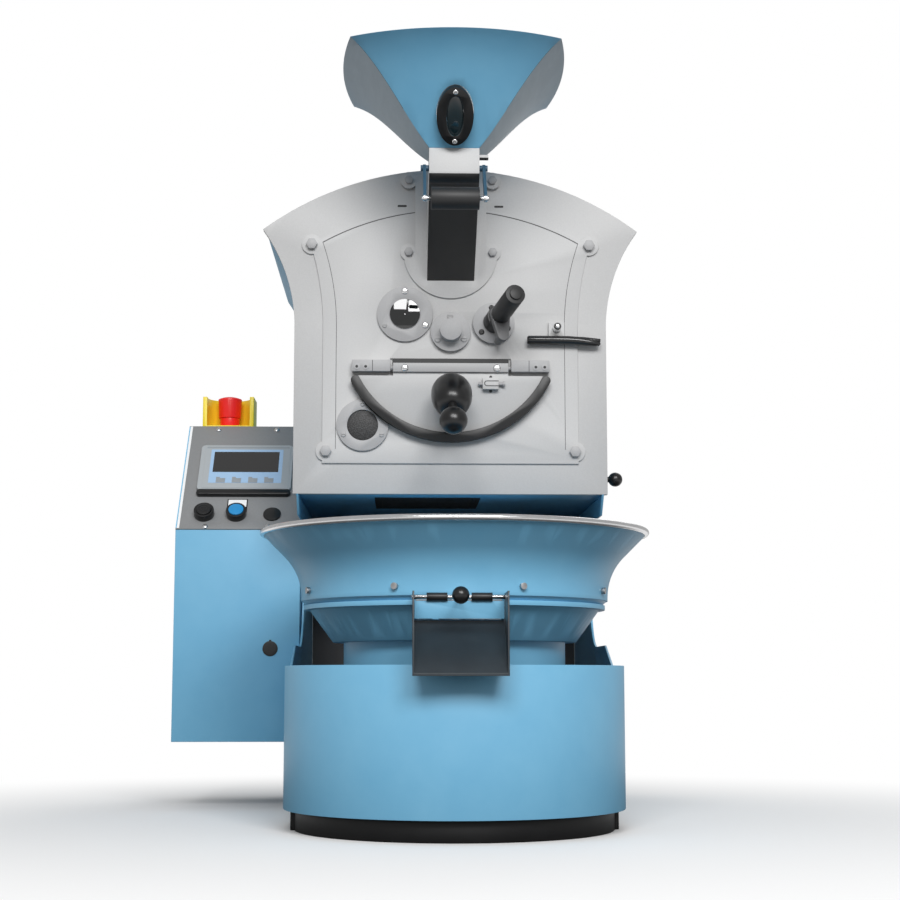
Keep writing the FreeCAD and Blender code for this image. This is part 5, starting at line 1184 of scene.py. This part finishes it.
@dataclass
class Door:
    """The half-moon discharge door with its band, hinge, latch and weighted handle.

    Args:
        ball_radius: the radius of the handle's ball.
        ball_place: the ball's place along the handle's axis.
        rod_radius: the radius of the handle's rod.
        weight_lean: how far the handle's axis dips, in degrees.
        door_front: the Y of the door's front face.
        guide_ends: the X of the latch guide's bend and of its open end.
        guide_half: half the gap between the guide's two lines.
        guide_screw_place: the X and Y of the guide's screws.
        bar_screw_place: how far the hinge bar's screws stand from the middle plane.
        bar_screw_height: the height of those screws.
    """

    ball_radius: float = 18.5 * MM
    ball_place: float = 148.0 * MM
    rod_radius: float = 6.0 * MM
    weight_lean: float = 30.0
    door_front: float = 156.7 * MM
    guide_ends: tuple = mm(50, 66)
    guide_half: float = 3.4 * MM
    guide_screw_place: tuple = mm(55.5, 165.7)
    bar_screw_place: float = 64.0 * MM
    bar_screw_height: float = 612.0 * MM

    def build(self) -> None:
        """Dresses the door's nodes and adds the latch guide's outline of painted shade and the screws that
        ride on it.
        """
        refine(("discharge_door", PLATE_GREY, 0.5 * MM), ("door_band", BLACK_METAL),
               ("door_hinge", FLANGE, 0.4 * MM), ("latch_bolt", FLANGE, 0.2 * MM))
        self.weight()
        body = BODY_OF["discharge_door"]
        bend, end = self.guide_ends
        turns = [math.pi * step / 8 for step in range(9)]
        guide = [(end, self.guide_half),
                 *[(bend - self.guide_half * math.sin(a), self.guide_half * math.cos(a)) for a in turns],
                 (end, -self.guide_half)]
        plane = front_plane(middle("latch_bolt").z, self.door_front)
        # The latch guide's outline is a strip of painted shade.
        Shape().ribbon(guide, 1.3 * MM, 0.12 * MM, plane).piece("latch_guide_shade_line", JOINT_SHADE_GREY, body)
        bar = [Vector((side * self.bar_screw_place, low("door_hinge").y, self.bar_screw_height))
               for side in (-1, 1)]
        holes = [Vector((*self.guide_screw_place, height)) for height in mm(600.2, 580.4)]
        fasten(body, ("hinge_bar_domes", bar, 5.4, 2.4, Drive.PLAIN, BRIGHT, 0.85),
               ("latch_guide_screws", holes, 2.0, 1.2, Drive.SOCKET, BLACK_METAL))

    def weight(self) -> None:
        """Turns the weighted handle: boss, rod, barrel and ball on one slanted axis."""
        corner = low("door_weight")
        ball = Vector((0.0, corner.y + self.ball_radius, corner.z + self.ball_radius))
        lean = math.radians(self.weight_lean)
        out = Vector((0, -math.cos(lean), -math.sin(lean)))
        start = math.asin(self.rod_radius / self.ball_radius)
        profile = [mm(*point) for point in (
            (0, 0.2), (11, 0.2), (11, 8), (6, 8), (6, 25), (11, 25.2), (16, 26.6), (20.5, 29.6), (24.2, 34),
            (26.6, 39), (27.8, 45), (28, 52), (27.7, 60), (26.9, 68), (25.4, 76), (23, 83), (19.4, 89),
            (14.6, 93.2), (9, 95.4), (6, 95.8))]
        for angle in (start + (math.pi - start) * step / 24 for step in range(24)):
            profile.append((self.ball_radius * math.sin(angle),
                            self.ball_place - self.ball_radius * math.cos(angle)))
        profile.append((0.0, self.ball_place + self.ball_radius))
        made = Shape().lathe(profile, ball - out * self.ball_place, out, 64).piece(
            "weighted_handle", BLACK_PLASTIC, BODY_OF["door_weight"], sharp=50.0)
        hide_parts("door_weight")


@dataclass
class Feed:
    """The hopper with its window, the chute and the feed gate.

    Args:
        tilt: how far the window's ring leans back at its top, in degrees.
        screw_place: the distance of its screws from the ring's middle.
        ring_stand: how far the ring's face stands off its middle.
        glass_half: half the glass's width and half its length.
        pin_reach: the radius round the grip's axis that holds its pin.
        pin_bare: how far from the middle plane the pin's bright ends start.
    """

    tilt: float = 40.0
    screw_place: float = 33.5 * MM
    ring_stand: float = 6.0 * MM
    glass_half: tuple = mm(11.02, 27.02)
    pin_reach: float = 6.5 * MM
    pin_bare: float = 30.8 * MM

    def build(self) -> None:
        """Dresses the feed's nodes."""
        refine(("hopper", BLUE, SOFT_EDGE, self.hopper_paint),
               ("hopper_window", BLACK_PLASTIC, SOFT_EDGE, self.window_paint),
               ("feed_chute", PLATE_GREY, 0.5 * MM, self.chute_shade_paint),
               ("feed_gate", BAIL_BLUE, 0.3 * MM, self.gate_paint), ("feed_grip", BLACK_MATT))
        along, out = self.window_axes()
        face = middle("hopper_window") + out * self.ring_stand
        places = [face + along * side * self.screw_place for side in (-1, 1)]
        fasten(BODY_OF["hopper_window"],
               ("window_screws", places, 3.2, 2.0, Drive.SOCKET, BRIGHT, 0.35, 0.5, [out]))

    def window_axes(self) -> tuple[Vector, Vector]:
        """The window's long axis and the way it faces."""
        lean = math.radians(self.tilt)
        return (Vector((0, -math.sin(lean), math.cos(lean))), Vector((0, -math.cos(lean), -math.sin(lean))))

    def hopper_paint(self, place: Vector, normal: Vector) -> Optional[Finish]:
        """Paints the side panels a lighter, greyer copy of the blue as painted light, and the creases a dark
        brown line of painted shade.
        """
        across = math.hypot(normal.x, normal.y)
        share = abs(normal.x) / across if across > 1e-4 else 0.0
        if share > 0.85:
            return HOPPER_SIDE_LIT
        return CREASE_SHADE if share > 0.6 else None

    def window_paint(self, place: Vector, normal: Vector) -> Optional[Finish]:
        """Makes what lies inside the ring glass."""
        away = place - middle("hopper_window")
        wide, tall = self.glass_half
        return WINDOW_GLASS if abs(away.x) < wide and abs(away.dot(self.window_axes()[0])) < tall else None

    def chute_shade_paint(self, place: Vector, normal: Vector) -> Optional[Finish]:
        """Paints the chute's downward-facing faces black: painted shade of its underside."""
        return BLACK_METAL if normal.z < -0.25 else None

    def gate_paint(self, place: Vector, normal: Vector) -> Optional[Finish]:
        """Leaves the ends of the grip's pin bright."""
        grip = middle("feed_grip")
        near = math.hypot(place.y - grip.y, place.z - grip.z) < self.pin_reach
        return BRIGHT if near and abs(place.x) > self.pin_bare else None


class Drum:
    """The roasting drum, its shaft and its motor."""

    def build(self) -> None:
        """Dresses the drum's nodes."""
        refine(("drum_shell", STEEL), ("drum_shaft", STEEL, 0.3 * MM), ("drum_motor", DARK_GREY))


@dataclass
class CoolingBin:
    """The bell-shaped cooling bin with its rim, cone, floor, agitator, fan, gate and tray.

    Args:
        screw_ring: the radius out to the band screws' faces.
        screw_height: the height of the band screws.
        shaft_place: the Y and Z of the gate's shaft.
        lug_reach: the radius round the shaft that holds the lugs.
        lug_inner: how far the lugs stand from the middle plane.
        ball_back: the Y of the ball at the arm's end.
        ball_reach: the radius that holds the ball.
    """

    screw_ring: float = 197.5 * MM
    screw_height: float = 292.0 * MM
    shaft_place: tuple = mm(-199, 278.5)
    lug_reach: float = 5.4 * MM
    lug_inner: float = 13.0 * MM
    ball_back: float = -244.0 * MM
    ball_reach: float = 10.3 * MM

    def build(self) -> None:
        """Dresses the bin's nodes and adds black discs of painted shade in its band screws' sockets."""
        refine(("bin_bell", BLUE), ("bin_cone", BLUE), ("bin_rim", BRIGHT, 0.0), ("bin_floor", STEEL),
               ("bin_screws", STEEL, 0.2 * MM), ("agitator", STEEL), ("agitator_gearbox", DARK_GREY),
               ("fan_housing", DARK_GREY), ("fan_impeller", STEEL), ("bin_tray", TRAY_BLUE_BLACK),
               ("bin_gate", BLUE, 0.3 * MM, self.gate_paint),
               ("gate_shaft", BRIGHT, 0.3 * MM, self.shaft_paint))
        angles = [math.radians(22.5 + 45 * index) for index in range(8)]
        ways = [Vector((math.cos(angle), math.sin(angle), 0)) for angle in angles]
        places = [way * self.screw_ring + UP * self.screw_height for way in ways]
        fasten(BODY_OF["bin_bell"],
               # Black discs on the band screws: painted shade of their sockets.
               ("band_screw_socket_shade", places, 2.2, 0.25, Drive.PLAIN, BLACK_MATT, 0.1, 0.5, ways))

    def gate_paint(self, place: Vector, normal: Vector) -> Optional[Finish]:
        """Blackens the two lugs round the shaft."""
        reach = math.hypot(place.y - self.shaft_place[0], place.z - self.shaft_place[1])
        return BLACK_METAL if reach < self.lug_reach and abs(place.x) > self.lug_inner else None

    def shaft_paint(self, place: Vector, normal: Vector) -> Optional[Finish]:
        """Makes the ball at the arm's end black resin."""
        ball = Vector((0.0, self.ball_back, self.shaft_place[1]))
        return BLACK_PLASTIC if (place - ball).length < self.ball_reach else None


@dataclass
class ControlBox:
    """The side box with its sloping panel, display, buttons and emergency stop.

    Local axes on the panel: X to the right, Y up the slope and Z out of it, from the middle of
    the display's solid.

    Args:
        case_wide: the display's width.
        case_tall: the display's length up the slope.
        case_half: half the display's thickness.
        button_row: the buttons' place on the slope.
        blue_place: the blue button's place across.
        black_place: the black button's place across.
        cap_lift: how far the caps' faces stand out.
        legend_reach: the radius of the legend plate's cut round the blue button.
        collar_reach: the radius of the stop's collar.
        collar_foot: the height of the collar's foot.
        plug_place: the X and Z of the plug in the box's front.
    """

    case_wide: float = 140.0 * MM
    case_tall: float = 108.0 * MM
    case_half: float = 4.0 * MM
    button_row: float = -91.0 * MM
    blue_place: float = -7.5 * MM
    black_place: float = -54.5 * MM
    cap_lift: float = 8.5 * MM
    legend_reach: float = 15.1 * MM
    collar_reach: float = 15.3 * MM
    collar_foot: float = 575.2 * MM
    plug_place: tuple = mm(-257, 228)

    def build(self) -> None:
        """Dresses the box's nodes and adds the display's face, labels and screws."""
        refine(("control_box", BLUE), ("control_panel", PANEL_GREY),
               ("panel_bezels", BLACK_PLASTIC, 0.4 * MM), ("black_button", BLACK_PLASTIC, 0.8 * MM),
               ("blue_button", BUTTON_BLUE, 0.8 * MM),
               ("stop_shroud", GUARD_YELLOW, SOFT_EDGE, self.collar_paint),
               ("stop_neck", BLACK_PLASTIC), ("stop_head", STOP_RED))
        self.display()
        self.labels()
        self.plug()
        self.screws()

    def collar_paint(self, place: Vector, normal: Vector) -> Optional[Finish]:
        """Makes the stop's collar red."""
        centre = middle("stop_neck")
        reach = math.hypot(place.x - centre.x, place.y - centre.y)
        return STOP_RED if reach < self.collar_reach and place.z > self.collar_foot else None

    def slope(self, lift: float, across: float = 0.0, along: float = 0.0) -> Matrix:
        """The panel's local axes, raised off the middle of the display.

        Args:
            lift: how far along local Z.
            across: how far along local X.
            along: how far along local Y.

        Returns:
            The turn and the place as one matrix.
        """
        out = -next(Vector(joint["axis"]) for joint in frame["record"]["behaviour"]["joints"]
                    if joint["name"] == "black_press").normalized()
        turn = Matrix((RIGHT, out.cross(RIGHT), out)).transposed().to_4x4()
        return Matrix.Translation(middle("operator_display")) @ turn @ Matrix.Translation(
            (across, along, lift))

    def outward(self) -> Vector:
        """The way the panel faces."""
        return self.slope(0).col[2].to_3d()

    def slab(self, name: str, finish: Finish, node: str, sides: Sequence[float], thick: float,
             lift: float, edge: float = 0.0) -> bpy.types.Object:
        """Lays a rounded plate on the panel.

        Args:
            name: the piece's name.
            finish: its finish.
            node: the CAD node whose body it rides on.
            sides: its left, right, bottom, top and the radius of its corners.
            thick: its thickness.
            lift: how far its back lies along local Z.
            edge: the radius of its softened edges, or 0.

        Returns:
            The new piece.
        """
        return Shape().prism(rounded(*sides), thick, self.slope(lift)).piece(
            name, finish, BODY_OF[node], edge)

    def display(self) -> None:
        """Builds the operator display: case, lower bar, key film, screen and four keys."""
        node = "operator_display"
        half, tall = self.case_wide / 2, self.case_tall / 2
        case = self.slab("display_case", DISPLAY_SILVER, node, (-half, half, -tall + 10 * MM, tall, 7 * MM),
                         6.4 * MM, -self.case_half, 1.4 * MM)
        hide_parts(node)
        self.slab("display_bezel", DISPLAY_SILVER, node,
                  (-half + 7 * MM, half - 4 * MM, -tall + 13 * MM, tall - 3 * MM, 3 * MM),
                  0.8 * MM, 2.3 * MM, 0.5 * MM)
        self.slab("display_bar", BLACK_PLASTIC, node, (-half, half, -tall, -tall + 11.5 * MM, 5.5 * MM),
                  7.6 * MM, -self.case_half, 2.4 * MM)
        Shape().ribbon([(-half + 9 * MM, tall - 6.8 * MM), (half - 6 * MM, tall - 6.8 * MM)], 3.0 * MM,
                       0.1 * MM, self.slope(3.1 * MM)).piece("display_header", KEY_GREY, BODY_OF[node])
        self.slab("display_key_film", DISPLAY_FILM, node, mm(-54, 55, -30.5, 42.5, 1.5), 0.3 * MM, 3.05 * MM)
        self.slab("display_screen", SCREEN_GLASS, node, mm(-49, 49.4, -7.2, 37.2, 0.6), 0.25 * MM, 3.3 * MM)
        keys = Shape()
        for left in (-42.6, -18.8, 5.6, 29.6):
            outline = ((left, -30), (left + 13.8, -30), (left + 13.8, -20.6), (left + 6.4, -20.6),
                       (left + 5.2, -18), (left, -18))
            keys.prism([mm(*point) for point in outline], 0.4 * MM, self.slope(3.3 * MM))
        keys.piece("display_keys", KEY_GREY, BODY_OF[node], edge=0.15 * MM)

    def labels(self) -> None:
        """Adds the blue button's legend plate, the rings on the black one and the edge strips, whose white
        one is a painted highlight of the panel's bright edge.
        """
        body, panel = BODY_OF["control_panel"], -self.case_half
        plate = [(self.blue_place + self.legend_reach * math.cos(math.radians(a)),
                  self.button_row + self.legend_reach * math.sin(math.radians(a)))
                 for a in range(15, 166, 6)]
        plate += [mm(*point) for point in ((-22.5, -84), (-22.5, -59), (7.5, -59), (7.5, -84))]
        Shape().prism(plate, 0.9 * MM, self.slope(panel)).piece("legend_plate", BLACK_PLASTIC, body)
        self.slab("legend_field", LABEL_AND_HIGHLIGHT_WHITE, "control_panel", mm(-20.9, 5.9, -75, -60.4, 0.8), 0.2 * MM,
                  panel + 0.9 * MM)
        rings = Shape()
        foot = self.slope(self.cap_lift, self.black_place, self.button_row).translation
        for radius in (4.2, 8.2):
            section = ((-0.7, -0.1), (-0.35, 0.45), (0.35, 0.45), (0.7, -0.1), (-0.7, -0.1))
            rings.lathe([mm(radius + off, height) for off, height in section], foot, self.outward(), 64)
        rings.piece("black_button_rings", BLACK_MATT, BODY_OF["black_button"])
        # The white strip is a painted highlight of the panel's bright edge.
        for name, place, width, finish in (("panel_edge_painted_highlight", -90.4, 3.6, LABEL_AND_HIGHLIGHT_WHITE),
                                           ("panel_edge_blue", -93.1, 1.6, BLUE)):
            Shape().ribbon([mm(place, -118.5), mm(place, 102.5)], width * MM, 0.3 * MM,
                           self.slope(panel)).piece(name, finish, body)

    def plug(self) -> None:
        """Adds the plug in the box's front and the notch over it."""
        body = BODY_OF["control_box"]
        hole = Vector((self.plug_place[0], low("control_box").y, self.plug_place[1]))
        fasten(body, ("box_front_plug", [hole], 11, 1.2, Drive.PLAIN, BLACK_MATT, 0.3))
        Shape().block(hole + Vector(mm(-1.6, -1.0, 10)), hole + Vector(mm(1.6, 0.1, 12.6))).piece(
            "box_front_plug_notch", BLACK_MATT, body)

    def screws(self) -> None:
        """Adds the four dome screws of the panel."""
        places = [self.slope(-self.case_half, *mm(x, y)).translation
                  for x, y in ((-48.3, 95.0), (41.4, 95.0), (-51.2, -116.0), (39.7, -116.0))]
        fasten(BODY_OF["control_panel"],
               ("panel_screws", places, 4.3, 2.8, Drive.SOCKET, BRIGHT, 0.6, 0.4, [self.outward()]))


def main() -> None:
    """Builds the studio and every sub-assembly in order."""
    Studio().build()
    for assembly in (Base, BodyCase, Face, Lever, Door, Feed, Drum, CoolingBin, ControlBox):
        LOG.info("building %s", assembly.__name__)
        assembly().build()


if __name__ == "__main__":
    main()
